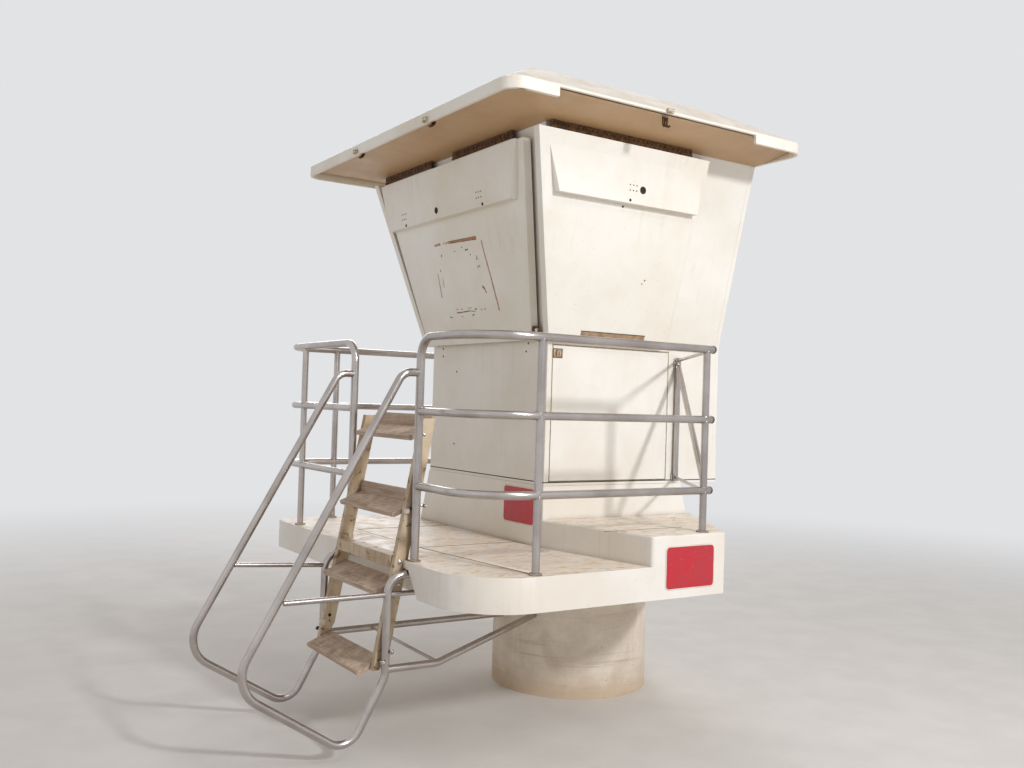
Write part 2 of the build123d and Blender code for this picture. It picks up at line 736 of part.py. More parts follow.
# Landing board on the deck's edge between the stringers
landing = box(DECK_LEFT - LANDING_OUT, DECK_LEFT, tread_near, tread_far, LANDING_LOW, LANDING_HIGH)
landing = landing + box(DECK_LEFT, DECK_LEFT + LANDING_LAP, tread_near, tread_far, DECK_TOP, LANDING_HIGH)
save("landing_board", landing)


# Warning plates, one on the deck's near face and one on the cabin base
def plate(width, height):
    return extrude(RectangleRounded(width, height, PLATE_R), PLATE_T)


save("deck_plate", Plane(origin=(-244, DECK_NEAR, 878), x_dir=(1, 0, 0), z_dir=(0, -1, 0)) * plate(306, 198))
save("base_plate", Plane(origin=(CAB_LEFT, -343, 1091), x_dir=(0, -1, 0), z_dir=(-1, 0, 0)) * plate(290, 190))
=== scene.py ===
import bpy
import bmesh
import random
from math import cos, hypot, pi, radians, sin, sqrt
from mathutils import Matrix, Vector


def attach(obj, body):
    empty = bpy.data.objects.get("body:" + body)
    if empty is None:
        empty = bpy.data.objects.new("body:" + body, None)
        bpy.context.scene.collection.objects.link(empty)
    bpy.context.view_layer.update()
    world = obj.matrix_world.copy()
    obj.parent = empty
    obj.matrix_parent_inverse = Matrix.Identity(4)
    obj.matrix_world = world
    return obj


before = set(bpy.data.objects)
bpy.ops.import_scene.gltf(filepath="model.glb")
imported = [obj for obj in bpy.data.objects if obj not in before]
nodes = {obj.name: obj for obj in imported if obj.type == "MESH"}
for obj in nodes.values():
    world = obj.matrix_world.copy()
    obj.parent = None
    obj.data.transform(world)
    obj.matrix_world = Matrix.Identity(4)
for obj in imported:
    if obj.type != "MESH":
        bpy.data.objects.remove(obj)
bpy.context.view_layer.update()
random.seed(7)

# Frame: metres, origin on the ground at the pedestal's axis, +Z up,
# +X along the side with the half door, -X towards the ladder.

# Cabin and its flared upper part
CAB_LEFT = -0.620
CAB_REAR = 0.620
CAB_NEAR = -0.570
CAB_FAR = 0.670
CAB_FOOT = 1.230
FLARE_Z = 2.010
CAB_TOP = 3.040
LEFT_SLOPE = 0.230 / 1.030
SIDE_SLOPE = 0.250 / 1.030

# Shutters, with offsets measured level from the flared wall
FLAP_OUT = 0.062
# Wedge as (height, thickness) at its head and at its lip
SIDE_WEDGE = ((2.925, 0.0), (2.700, 0.045))
LEFT_WEDGE = ((2.980, 0.016), (2.692, 0.045))
HINGE_OFF = 0.040
SIDE_HINGE_Z = 3.012
LEFT_HINGE_Z = 3.005
LEAF_HALF = 0.002
KNUCKLE_R = 0.006
SIDE_STRIP = (-0.840, 0.097)
LEFT_STRIPS = ((-0.572, 0.047), (0.294, 0.895))

# Deck and walkway
DECK_TOP = 0.890
WALK_TOP = 1.035
DECK_NEAR = -1.286

# Roof edge
ROOF_LEFT = -1.280
ROOF_NEAR = -1.157

# Guardrails
POST_X = -1.437
NEAR_RAIL_Y = -1.245
FAR_RAIL_Y = 1.008
RAIL_Z = (1.240, 1.590, 1.938)
LADDER_NEAR_Y = -0.700
LADDER_FAR_Y = 0.039
BACK_POST_Y = 0.745
CORNER_POST_X = -1.125
END_POST_X = -0.130
RAIL_R = 0.019
POST_R = 0.018
TOP_RAIL_R = 0.020
FRAME_X = 0.285

# Ladder
STRINGERS = (-0.650, -0.010)
STRINGER_HALF = 0.0175
STRINGER_FOOT = (-1.617, 0.390)
STRINGER_LEAN = 0.222 / 1.166
TREAD_FIRST = (-1.680, 0.376)
TREAD_STEP = (0.077, 0.361)
TREAD_TILT = radians(22)
TREAD_DEPTH = 0.140

# Pedestal
PEDESTAL_R = 0.457

# Small fittings
WELD_R = 0.0028
WELD_STEPS = 28
FOOT_R = 0.028
RAIL_END_X = -0.090
HINGE_PITCH = 0.030
LATCH_Z = 1.913
SEAM_W = 0.006
BAND_W = 0.036


def tone(red, green, blue):
    """Shader colour for a screen colour given as 0 to 255."""
    parts = []
    for value in (red, green, blue):
        value /= 255
        parts.append(value / 12.92 if value <= 0.04045 else ((value + 0.055) / 1.055) ** 2.4)
    return (*parts, 1.0)


class Look:
    """A node material with one principled shader and short helpers for its textures."""

    def __init__(self, name):
        self.material = bpy.data.materials.new(name)
        self.material.use_nodes = True
        self.tree = self.material.node_tree
        self.tree.nodes.clear()
        self.output = self.node("ShaderNodeOutputMaterial")
        self.shader = self.node("ShaderNodeBsdfPrincipled")
        self.tree.links.new(self.shader.outputs[0], self.output.inputs["Surface"])
        self.place = self.node("ShaderNodeTexCoord").outputs["Object"]
        self.normal = self.node("ShaderNodeNewGeometry").outputs["Normal"]

    def node(self, kind, **settings):
        made = self.tree.nodes.new(kind)
        for key, value in settings.items():
            setattr(made, key, value)
        return made

    def put(self, socket, value):
        """Link a socket to another, or set it to a plain value."""
        if isinstance(value, bpy.types.NodeSocket):
            self.tree.links.new(value, socket)
        else:
            socket.default_value = value

    def stretched(self, x, y, z):
        """Texture place scaled along each axis, for grain and runs that lie one way."""
        scale = self.node("ShaderNodeMapping")
        self.put(scale.inputs["Vector"], self.place)
        scale.inputs["Scale"].default_value = (x, y, z)
        return scale.outputs[0]

    def noise(self, scale, detail=4, rough=0.55, place=None, bend=0.0):
        made = self.node("ShaderNodeTexNoise")
        self.put(made.inputs["Vector"], place or self.place)
        made.inputs["Scale"].default_value = scale
        made.inputs["Detail"].default_value = detail
        made.inputs["Roughness"].default_value = rough
        made.inputs["Distortion"].default_value = bend
        return made.outputs[0]

    def cells(self, scale):
        made = self.node("ShaderNodeTexVoronoi")
        self.put(made.inputs["Vector"], self.place)
        made.inputs["Scale"].default_value = scale
        return made.outputs["Distance"]

    def span(self, value, low, high, out_low=0.0, out_high=1.0):
        """Carry a value from one range to another, held at the ends."""
        made = self.node("ShaderNodeMapRange")
        made.interpolation_type = "SMOOTHSTEP"
        self.put(made.inputs["Value"], value)
        made.inputs["From Min"].default_value = low
        made.inputs["From Max"].default_value = high
        made.inputs["To Min"].default_value = out_low
        made.inputs["To Max"].default_value = out_high
        return made.outputs["Result"]

    def maths(self, kind, first, second):
        made = self.node("ShaderNodeMath", operation=kind)
        self.put(made.inputs[0], first)
        self.put(made.inputs[1], second)
        return made.outputs[0]

    def times(self, first, second):
        return self.maths("MULTIPLY", first, second)

    def blend(self, share, first, second):
        """Colour between two others; share is how much of the second."""
        made = self.node("ShaderNodeMix", data_type="RGBA")
        self.put(made.inputs[0], share)
        self.put(made.inputs[6], first)
        self.put(made.inputs[7], second)
        return made.outputs[2]

    def axis(self, socket, name):
        made = self.node("ShaderNodeSeparateXYZ")
        self.put(made.inputs[0], socket)
        return made.outputs[name]

    def upward(self, low=0.6, high=0.9):
        """1 where the surface faces up, 0 where it is steep or faces down."""
        return self.span(self.axis(self.normal, "Z"), low, high)

    def downward(self):
        return self.span(self.axis(self.normal, "Z"), -0.45, -0.9)

    def occlusion_shade(self, distance):
        """Mask for painted shade: 1 in corners and gaps, 0 on open surfaces, from ambient occlusion."""
        made = self.node("ShaderNodeAmbientOcclusion", samples=6)
        made.inputs["Distance"].default_value = distance
        return self.span(made.outputs["AO"], 0.75, 0.25)

    def relief(self, height, distance, strength=1.0, under=None):
        made = self.node("ShaderNodeBump")
        made.inputs["Strength"].default_value = strength
        made.inputs["Distance"].default_value = distance
        self.put(made.inputs["Height"], height)
        if under is not None:
            self.put(made.inputs["Normal"], under)
        return made.outputs[0]

    def finish(self, colour, roughness, normal=None, metal=0.0, coat=0.0):
        self.put(self.shader.inputs["Base Color"], colour)
        self.put(self.shader.inputs["Roughness"], roughness)
        self.put(self.shader.inputs["Metallic"], metal)
        self.shader.inputs["Coat Weight"].default_value = coat
        self.shader.inputs["Coat Roughness"].default_value = 0.25
        if normal is not None:
            self.put(self.shader.inputs["Normal"], normal)
        return self.material


SAND = tone(186, 158, 126)
# Grime colour for specks, also used for painted shade in corners.
GRIME_AND_SHADE = tone(118, 92, 66)


def gelcoat(
    name,
    tint,
    aged,
    sand=0.25,
    streaks=0.3,
    under=tone(196, 172, 140),
    under_shade_share=0.3,
    grains=5.5,
    sand_tint=SAND,
    trails=0.0,
):
    """Weathered moulded skin: rain streaks, sand and blown trails on top, painted shade on faces turned
    down, painted shade in corners.
    """
    look = Look(name)
    patches = look.span(look.noise(1.6, 5, 0.6), 0.35, 0.68)
    colour = look.blend(patches, tint, aged)
    mottle = look.span(look.noise(14, 6, 0.6), 0.45, 0.72, 0.0, 0.22)
    colour = look.blend(mottle, colour, aged)
    rain = look.noise(1.0, 4, 0.6, look.stretched(26, 26, 0.9))
    rain_share = look.span(rain, 0.53, 0.74, 0.0, streaks)
    rain_share = look.times(rain_share, look.span(look.noise(2.2), 0.4, 0.65))
    colour = look.blend(rain_share, colour, tone(176, 150, 120))
    specks = look.span(look.noise(95, 3, 0.5), 0.70, 0.76, 0.0, 0.45)
    colour = look.blend(specks, colour, GRIME_AND_SHADE)
    # Painted shade: faces turned down take the under colour.
    colour = look.blend(look.times(look.downward(), under_shade_share), colour, under)
    drift = look.span(look.noise(grains, 7, 0.7, bend=0.4), 0.40, 0.60)
    sand_share = look.times(look.times(look.upward(), drift), sand)
    colour = look.blend(sand_share, colour, sand_tint)
    ridges = look.noise(1.0, 7, 0.75, look.stretched(9, 22, 9), 0.8)
    trail_share = look.times(look.upward(), look.span(ridges, 0.50, 0.62, 0.0, trails))
    colour = look.blend(trail_share, colour, tone(200, 164, 122))
    # Painted shade in corners and gaps, from ambient occlusion.
    corner_shade = look.times(look.occlusion_shade(0.05), 0.5)
    colour = look.blend(corner_shade, colour, GRIME_AND_SHADE)
    rough = look.span(look.noise(9, 5), 0.3, 0.7, 0.34, 0.52)
    rough = look.maths("ADD", rough, look.times(sand_share, 0.4))
    waves = look.relief(look.noise(5, 3), 0.006, 0.35)
    peel = look.relief(look.noise(160, 3, 0.6), 0.0006, 0.35, waves)
    grit = look.times(look.noise(240, 2, 0.6), sand_share)
    return look.finish(colour, rough, look.relief(grit, 0.004, 0.7, peel), coat=0.12)


def steel():
    """Satin stainless tube with a fine brushed grain and brown tea staining."""
    look = Look("rail_steel_look")
    cloud = look.span(look.noise(5, 4, 0.55), 0.35, 0.7)
    colour = look.blend(cloud, tone(192, 185, 181), tone(172, 164, 159))
    stain = look.span(look.noise(9, 6, 0.7, bend=0.6), 0.62, 0.80, 0.0, 0.35)
    colour = look.blend(stain, colour, tone(134, 108, 86))
    # Painted shade in corners and where parts meet, from ambient occlusion.
    corner_shade = look.times(look.occlusion_shade(0.02), 0.5)
    colour = look.blend(corner_shade, colour, tone(84, 66, 52))
    grain = look.noise(420, 2, 0.5, look.stretched(1.0, 1.0, 0.22))
    rough = look.maths("ADD", look.span(grain, 0.3, 0.7, 0.20, 0.26), look.times(stain, 0.25))
    normal = look.relief(grain, 0.00015, 0.12, look.relief(look.noise(14, 2), 0.0010, 0.12))
    metal = look.maths("SUBTRACT", 1.0, look.times(stain, 0.5))
    return look.finish(colour, rough, normal, metal)


def concrete():
    """Cast drum with level form lines, pits, water marks and sand at its foot."""
    look = Look("pedestal_concrete_look")
    cloud = look.span(look.noise(3.4, 7, 0.65, bend=0.5), 0.34, 0.68)
    colour = look.blend(cloud, tone(246, 236, 222), tone(218, 204, 186))
    fine = look.span(look.noise(48, 6, 0.7), 0.35, 0.7, 0.0, 0.5)
    colour = look.blend(fine, colour, tone(234, 222, 206))
    height = look.axis(look.place, "Z")
    lines = look.noise(1.0, 4, 0.6, look.stretched(1.3, 1.3, 26))
    line_share = look.span(lines, 0.56, 0.70, 0.0, 0.5)
    colour = look.blend(line_share, colour, tone(176, 156, 134))
    rain = look.span(look.noise(1.0, 4, 0.6, look.stretched(11, 11, 0.8)), 0.52, 0.7, 0.0, 0.4)
    colour = look.blend(rain, colour, tone(246, 236, 220))
    foot = look.maths("ADD", height, look.times(look.noise(9, 5), 0.16))
    foot_share = look.span(foot, 0.26, 0.10, 0.0, 0.75)
    colour = look.blend(foot_share, colour, tone(206, 182, 152))
    pits = look.span(look.cells(34), 0.16, 0.05)
    pit_mask = look.times(pits, look.span(look.noise(12), 0.48, 0.62))
    colour = look.blend(look.times(pit_mask, 0.6), colour, tone(130, 112, 94))
    deep = look.relief(look.maths("SUBTRACT", 1.0, pit_mask), 0.004, 0.8)
    grain = look.relief(look.noise(70, 7, 0.7), 0.004, 0.6, deep)
    ridges = look.relief(lines, 0.01, 0.5, grain)
    return look.finish(colour, look.span(look.noise(30), 0.3, 0.7, 0.78, 0.95), ridges)


def board():
    """Weathered timber with grain along the board, sand in the grain and worn paint."""
    look = Look("tread_board_look")
    grain = look.noise(1.0, 7, 0.7, look.stretched(85, 3.2, 85), 0.8)
    colour = look.blend(look.span(grain, 0.32, 0.68), tone(206, 184, 164), tone(160, 138, 120))
    wide = look.span(look.noise(5, 4), 0.4, 0.68, 0.0, 0.5)
    colour = look.blend(wide, colour, tone(212, 194, 174))
    sand = look.times(look.upward(0.5, 0.85), look.span(look.noise(17, 6, 0.7), 0.42, 0.62, 0.0, 0.75))
    colour = look.blend(sand, colour, tone(226, 206, 182))
    # Painted shade in corners and where parts meet, from ambient occlusion.
    corner_shade = look.times(look.occlusion_shade(0.03), 0.6)
    colour = look.blend(corner_shade, colour, tone(70, 52, 38))
    normal = look.relief(look.noise(260, 3), 0.0012, 0.5, look.relief(grain, 0.003, 0.7))
    return look.finish(colour, 0.82, normal)


def paint():
    """Old cream paint on the ladder's sides, scuffed to brown in patches, with painted shade where it meets
    other parts.
    """
    look = Look("ladder_paint_look")
    colour = look.blend(look.span(look.noise(6, 5), 0.35, 0.7), tone(212, 194, 166), tone(186, 162, 130))
    runs = look.noise(1.0, 5, 0.65, look.stretched(48, 48, 2.4))
    colour = look.blend(look.span(runs, 0.5, 0.72, 0.0, 0.6), colour, tone(150, 120, 90))
    bare = look.span(look.noise(24, 7, 0.72, bend=0.5), 0.57, 0.63)
    colour = look.blend(look.times(bare, 0.85), colour, tone(116, 88, 62))
    # Painted shade in corners and where parts meet, from ambient occlusion.
    corner_shade = look.times(look.occlusion_shade(0.04), 0.7)
    colour = look.blend(corner_shade, colour, tone(82, 60, 42))
    edge = look.relief(look.maths("SUBTRACT", 1.0, bare), 0.0009, 0.8)
    normal = look.relief(look.noise(120, 4), 0.001, 0.5, edge)
    return look.finish(colour, look.span(bare, 0.0, 1.0, 0.5, 0.82), normal)


def bronze():
    """Brown weathered bronze with rubbed bright spots."""
    look = Look("bronze_look")
    patina = look.span(look.noise(38, 6, 0.7), 0.35, 0.66)
    colour = look.blend(patina, tone(126, 92, 60), tone(74, 54, 38))
    rub = look.span(look.noise(90, 4), 0.60, 0.70, 0.0, 0.7)
    colour = look.blend(rub, colour, tone(188, 150, 100))
    # Painted shade in corners and where parts meet, from ambient occlusion.
    corner_shade = look.times(look.occlusion_shade(0.01), 0.6)
    colour = look.blend(corner_shade, colour, tone(46, 34, 24))
    rough = look.span(look.noise(60), 0.3, 0.7, 0.38, 0.62)
    return look.finish(colour, rough, look.relief(look.noise(300, 3), 0.0006, 0.5), 0.75)


def enamel(name, tint, faded):
    """Enamelled plate, faded in patches, with fine scratches."""
    look = Look(name)
    colour = look.blend(look.span(look.noise(9, 5), 0.35, 0.7), tint, faded)
    scratch = look.noise(1.0, 3, 0.6, look.stretched(30, 240, 240), 0.4)
    colour = look.blend(look.span(scratch, 0.68, 0.72, 0.0, 0.35), colour, tone(226, 210, 200))
    dust = look.span(look.noise(42, 6, 0.7), 0.6, 0.72, 0.0, 0.3)
    colour = look.blend(dust, colour, tone(150, 116, 92))
    gloss = look.span(look.noise(25), 0.3, 0.7, 0.28, 0.45)
    return look.finish(colour, gloss, look.relief(look.noise(180), 0.0003, 0.4), coat=0.2)


def plain(name, tint, other, rough, grain=120, metal=0.0):
    """Small-part finish: two mixed shades, a little bump and uneven gloss."""
    look = Look(name)
    colour = look.blend(look.span(look.noise(grain / 3, 5), 0.35, 0.68), tint, other)
    gloss = look.span(look.noise(grain / 2), 0.3, 0.7, rough - 0.08, rough + 0.1)
    return look.finish(colour, gloss, look.relief(look.noise(grain, 4), 0.0008, 0.5), metal)


deck_skin = gelcoat(
    "deck_gelcoat_look",
    tone(245, 242, 236),
    tone(237, 229, 217),
    sand=0.66,
    streaks=0.12,
    grains=10,
    sand_tint=tone(248, 232, 208),
    trails=0.68,
)
cabin_skin = gelcoat(
    "cabin_gelcoat_look",
    tone(246, 243, 236),
    tone(238, 232, 220),
    sand=0.7,
    streaks=0.10,
)
roof_skin = gelcoat(
    "roof_gelcoat_look",
    tone(244, 240, 230),
    tone(234, 225, 209),
    sand=0.30,
    streaks=0.16,
)
# Soffit: a tan that is partly its own colour and partly painted warm shade under the eave, with more
# painted shade on faces turned down.
soffit_tan_and_shade_skin = gelcoat(
    "soffit_tan_and_shade_look",
    tone(212, 180, 138),
    tone(190, 156, 114),
    sand=0.3,
    under=tone(182, 142, 98),
    under_shade_share=0.6,
)
shutter_skin = gelcoat(
    "shutter_gelcoat_look",
    tone(245, 242, 234),
    tone(237, 230, 216),
    sand=0.12,
    streaks=0.12,
)
rail_look = steel()
concrete_look = concrete()
board_look = board()
paint_look = paint()
bronze_look = bronze()
red_look = enamel("warning_red_look", tone(200, 28, 46), tone(186, 44, 56))
border_look = enamel("plate_border_look", tone(238, 232, 222), tone(220, 208, 194))
screw_look = plain("screw_look", tone(150, 140, 128), tone(104, 88, 72), 0.42, 200, 0.85)
sealant_look = plain("sealant_look", tone(170, 150, 124), tone(120, 98, 76), 0.8, 90)
gap_look = plain("gap_look", tone(58, 46, 38), tone(34, 28, 24), 0.9, 80)
# Tan of the grip recess, painted shade.
grip_recess_shade_look = plain("grip_recess_shade_look", tone(176, 148, 116), tone(140, 112, 84), 0.6, 70)
glue_look = plain("glue_look", tone(196, 148, 112), tone(164, 118, 86), 0.75, 140)
glue_dark_look = plain("glue_dark_look", tone(156, 106, 76), tone(112, 76, 54), 0.75, 140)
seal_look = plain("seal_look", tone(206, 196, 172), tone(170, 156, 130), 0.8, 90)
band_look = plain("band_look", tone(250, 243, 232), tone(234, 218, 196), 0.6, 60)
# Dark strip colour for the deck seams, also used as painted shadow above the shutter grip.
seam_and_shadow_look = plain("seam_and_shadow_look", tone(112, 90, 70), tone(84, 66, 50), 0.85, 90)
chrome_look = plain("chrome_look", tone(214, 212, 208), tone(176, 168, 158), 0.24, 160, 1.0)
plug_look = plain("plug_look", tone(92, 78, 68), tone(66, 56, 50), 0.5, 90, 0.4)
catch_look = plain("catch_look", tone(206, 186, 158), tone(150, 122, 92), 0.45, 110, 0.2)


def dress(node, material):
    """Give a carried-over node its finish."""
    slots = nodes[node].material_slots
    if not slots:
        nodes[node].data.materials.append(material)
    for entry in slots:
        entry.material = material


CABIN_NODES = (
    "cabin_base",
    "cabin_floor",
    "left_wall_lower",
    "left_wall_upper",
    "far_wall_lower",
    "far_wall_upper",
    "near_wall_band",
    "near_wall_upper",
    "rear_wall",
    "side_door",
)
STEEL_WORDS = ("rail", "posts", "frame", "loop", "brace")
STEEL_NODES = [name for name in nodes if any(word in name for word in STEEL_WORDS)]

dress("pedestal", concrete_look)
dress("lower_deck", deck_skin)
dress("raised_walkway", deck_skin)
for name in CABIN_NODES:
    dress(name, cabin_skin)
dress("roof_shell", roof_skin)
dress("soffit", soffit_tan_and_shade_skin)
for name in ("near_shutter", "left_shutter", "far_shutter"):
    dress(name, shutter_skin)
dress("hinge_strips", bronze_look)
dress("fascia_catches", catch_look)
for name in STEEL_NODES:
    dress(name, rail_look)
for name in ("near_stringer", "far_stringer", "landing_board"):
    dress(name, paint_look)
for name in ("tread_1", "tread_2", "tread_3", "tread_4"):
    dress(name, board_look)
for name in ("deck_plate", "base_plate"):
    dress(name, red_look)


def soften(node, width, segments=2):
    """Round a moulded node's sharp edges a little, inside its own shape."""
    weld = nodes[node].modifiers.new("weld", "WELD")
    weld.merge_threshold = 0.0002
    edge = nodes[node].modifiers.new("edge", "BEVEL")
    edge.width = width
    edge.segments = segments
    edge.limit_method = "ANGLE"
    edge.angle_limit = radians(32)
    edge.use_clamp_overlap = True
    edge.harden_normals = True


for name in CABIN_NODES:
    soften(name, 0.003)
for name in ("near_shutter", "left_shutter", "far_shutter"):
    soften(name, 0.005, 3)
soften("lower_deck", 0.010, 3)
soften("roof_shell", 0.006, 3)
for name in ("near_stringer", "far_stringer", "landing_board"):
    soften(name, 0.003)


def piece(name, mesh, material, body="tower", smooth=True):
    """Turn a bmesh into a riding object."""
    data = bpy.data.meshes.new(name)
    bmesh.ops.recalc_face_normals(mesh, faces=mesh.faces[:])
    mesh.to_mesh(data)
    mesh.free()
    made = bpy.data.objects.new(name, data)
    bpy.context.scene.collection.objects.link(made)
    data.materials.append(material)
    if smooth:
        data.shade_smooth()
    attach(made, body)
    return made


def facing(point, outward, up=Vector((0, 0, 1))):
    """Placement at a point with its own Z along outward and its own Y near up."""
    out = Vector(outward).normalized()
    side = Vector(up).cross(out)
    if side.length < 1e-4:
        side = Vector((1, 0, 0)).cross(out)
    side.normalize()
    over = out.cross(side)
    turn = Matrix((side, over, out)).transposed().to_4x4()
    return Matrix.Translation(Vector(point)) @ turn


def lathe(mesh, profile, sides, place):
    """Turned form: profile is (radius, height) from the foot to the crown, closed at the crown."""
    rings = []
    for radius, height in profile:
        if radius == 0:
            rings.append([mesh.verts.new(place @ Vector((0, 0, height)))])
            continue
        ring = []
        for i in range(sides):
            turn = 2 * pi * (i + 0.5) / sides
            ring.append(mesh.verts.new(place @ Vector((radius * cos(turn), radius * sin(turn), height))))
        rings.append(ring)
    for low, high in zip(rings, rings[1:]):
        for i in range(sides):
            j = (i + 1) % sides
            if len(high) == 1:
                mesh.faces.new((low[i], low[j], high[0]))
            elif len(low) == 1:
                mesh.faces.new((low[0], high[j], high[i]))
            else:
                mesh.faces.new((low[i], low[j], high[j], high[i]))
    if len(rings[0]) > 1:
        mesh.faces.new(list(reversed(rings[0])))


def dome(mesh, point, outward, radius, height):
    """Round screw head with a driver dimple."""
    profile = [
        (radius, -0.001),
        (radius, height * 0.3),
        (radius * 0.82, height * 0.8),
        (radius * 0.45, height),
        (radius * 0.34, height),
        (radius * 0.3, height * 0.45),
        (0, height * 0.45),
    ]
    lathe(mesh, profile, 14, facing(point, outward))


def hex_bolt(mesh, point, outward, width, height):
    """Hexagon head on a washer."""
    place = facing(point, outward)
    half = width / 2
    washer = [(half * 1.45, -0.001), (half * 1.45, 0.0012), (half * 1.35, 0.0018), (0, 0.0018)]
    lathe(mesh, washer, 20, place)
    head = [(half, 0.001), (half, height * 0.85), (half * 0.86, height), (0, height * 1.02)]
    lathe(mesh, head, 6, place)


def slab(mesh, place, width, height, thick, ease):
    """Flat bar with eased front edges, on a placement whose Z faces out."""
    rings = []
    for inset, z in ((0, -0.001), (0, thick - ease), (ease, thick)):
        w = width / 2 - inset
        h = height / 2 - inset
        corners = ((-w, -h), (w, -h), (w, h), (-w, h))
        rings.append([mesh.verts.new(place @ Vector((x, y, z))) for x, y in corners])
    for low, high in zip(rings, rings[1:]):
        for i in range(4):
            j = (i + 1) % 4
            mesh.faces.new((low[i], low[j], high[j], high[i]))
    mesh.faces.new(rings[-1])
    mesh.faces.new(list(reversed(rings[0])))


def tube(mesh, points, radius, closed, sides):
    """Round bar along points, with capped ends where it is open."""
    points = [Vector(p) for p in points]
    count = len(points)
    rings = []
    side = None
    for i, point in enumerate(points):
        before = points[i - 1] if (closed or i) else point
        after = points[(i + 1) % count] if (closed or i < count - 1) else point
        along = (after - before).normalized()
        if side is None:
            side = along.orthogonal().normalized()
        side = (side - along * side.dot(along)).normalized()
        over = along.cross(side)
        ring = []
        for k in range(sides):
            turn = 2 * pi * k / sides
            ring.append(mesh.verts.new(point + radius * (cos(turn) * side + sin(turn) * over)))
        rings.append(ring)
    pairs = list(zip(rings, rings[1:]))
    if closed:
        pairs.append((rings[-1], rings[0]))
    for low, high in pairs:
        shift = 0
        if closed and high is rings[0]:
            shift = min(range(sides), key=lambda s: (high[s].co - low[0].co).length)
        for k in range(sides):
            a, b = (k + shift) % sides, (k + 1 + shift) % sides
            mesh.faces.new((low[k], low[(k + 1) % sides], high[b], high[a]))
    if not closed:
        mesh.faces.new(list(reversed(rings[0])))
        mesh.faces.new(rings[-1])


def ring_points(centre, outward, radius, count):
    """Points of a circle that faces outward."""
    place = facing(centre, outward)
    turns = [2 * pi * i / count for i in range(count)]
    return [place @ Vector((radius * cos(t), radius * sin(t), 0)) for t in turns]


# Points on the flared faces, a level distance off the wall, the same way as the part places its shutters


def near_face(along, off, z):
    return Vector((along, CAB_NEAR - off - SIDE_SLOPE * (z - FLARE_Z), z))


def far_face(along, off, z):
    return Vector((along, CAB_FAR + off + SIDE_SLOPE * (z - FLARE_Z), z))


def left_face(along, off, z):
    return Vector((CAB_LEFT - off - LEFT_SLOPE * (z - FLARE_Z), along, z))


NEAR_OUT = Vector((0, -1, -SIDE_SLOPE)).normalized()
LEFT_OUT = Vector((-1, 0, -LEFT_SLOPE)).normalized()


def wedge_growth(wedge):
    """Thickness that a wedge gains for each metre downwards."""
    (head_z, head), (lip_z, lip) = wedge
    return (lip - head) / (head_z - lip_z)


NEAR_WEDGE_OUT = Vector((0, -1, -SIDE_SLOPE + wedge_growth(SIDE_WEDGE))).normalized()
LEFT_WEDGE_OUT = Vector((-1, 0, -LEFT_SLOPE + wedge_growth(LEFT_WEDGE))).normalized()


def wedge_off(z, wedge):
    head_z, head = wedge[0]
    return FLAP_OUT + head + wedge_growth(wedge) * (head_z - z)


def near_wedge(along, z):
    return near_face(along, wedge_off(z, SIDE_WEDGE), z)


def left_wedge(along, z):
    return left_face(along, wedge_off(z, LEFT_WEDGE), z)


def stringer_x(z):
    """Where the stringers' outer edge is at a height."""
    return STRINGER_FOOT[0] + STRINGER_LEAN * (z - STRINGER_FOOT[1])


def tread_point(i, reach):
    """(x, z) on a tread, a distance up its slope from the front edge."""
    x = TREAD_FIRST[0] + i * TREAD_STEP[0] + reach * cos(TREAD_TILT)
    z = TREAD_FIRST[1] + i * TREAD_STEP[1] + reach * sin(TREAD_TILT)
    return x, z


# Weld beads where the posts meet the rails
beads = bmesh.new()


def bead(x, y, z, along, rail_r, sign):
    """Saddle-shaped weld bead round a post, above (1) or below (-1) a level rail."""
    points = []
    for i in range(WELD_STEPS):
        turn = 2 * pi * i / WELD_STEPS
        across = POST_R * (sin(turn) if along == "X" else cos(turn))
        rise = sqrt(max(rail_r**2 - across**2, 0))
        points.append((x + POST_R * cos(turn), y + POST_R * sin(turn), z + sign * rise))
    tube(beads, points, WELD_R, True, 8)


posts = [
    (CORNER_POST_X, NEAR_RAIL_Y, "X"),
    (END_POST_X, NEAR_RAIL_Y, "X"),
    (CORNER_POST_X, FAR_RAIL_Y, "X"),
    (END_POST_X, FAR_RAIL_Y, "X"),
    (POST_X, BACK_POST_Y, "Y"),
]
for x, y, along in posts:
    for z in RAIL_Z[:2]:
        bead(x, y, z, along, RAIL_R, 1)
        bead(x, y, z, along, RAIL_R, -1)
    bead(x, y, RAIL_Z[2], along, TOP_RAIL_R, -1)
for y, inward in ((LADDER_NEAR_Y, -1), (LADDER_FAR_Y, 1)):
    for z in RAIL_Z[:2]:
        points = []
        for i in range(WELD_STEPS):
            turn = 2 * pi * i / WELD_STEPS
            reach = sqrt(max(TOP_RAIL_R**2 - (RAIL_R * cos(turn)) ** 2, 0))
            points.append((POST_X + RAIL_R * cos(turn), y + inward * reach, z + RAIL_R * sin(turn)))
        tube(beads, points, WELD_R, True, 8)
piece("rail_weld_beads", beads, rail_look)

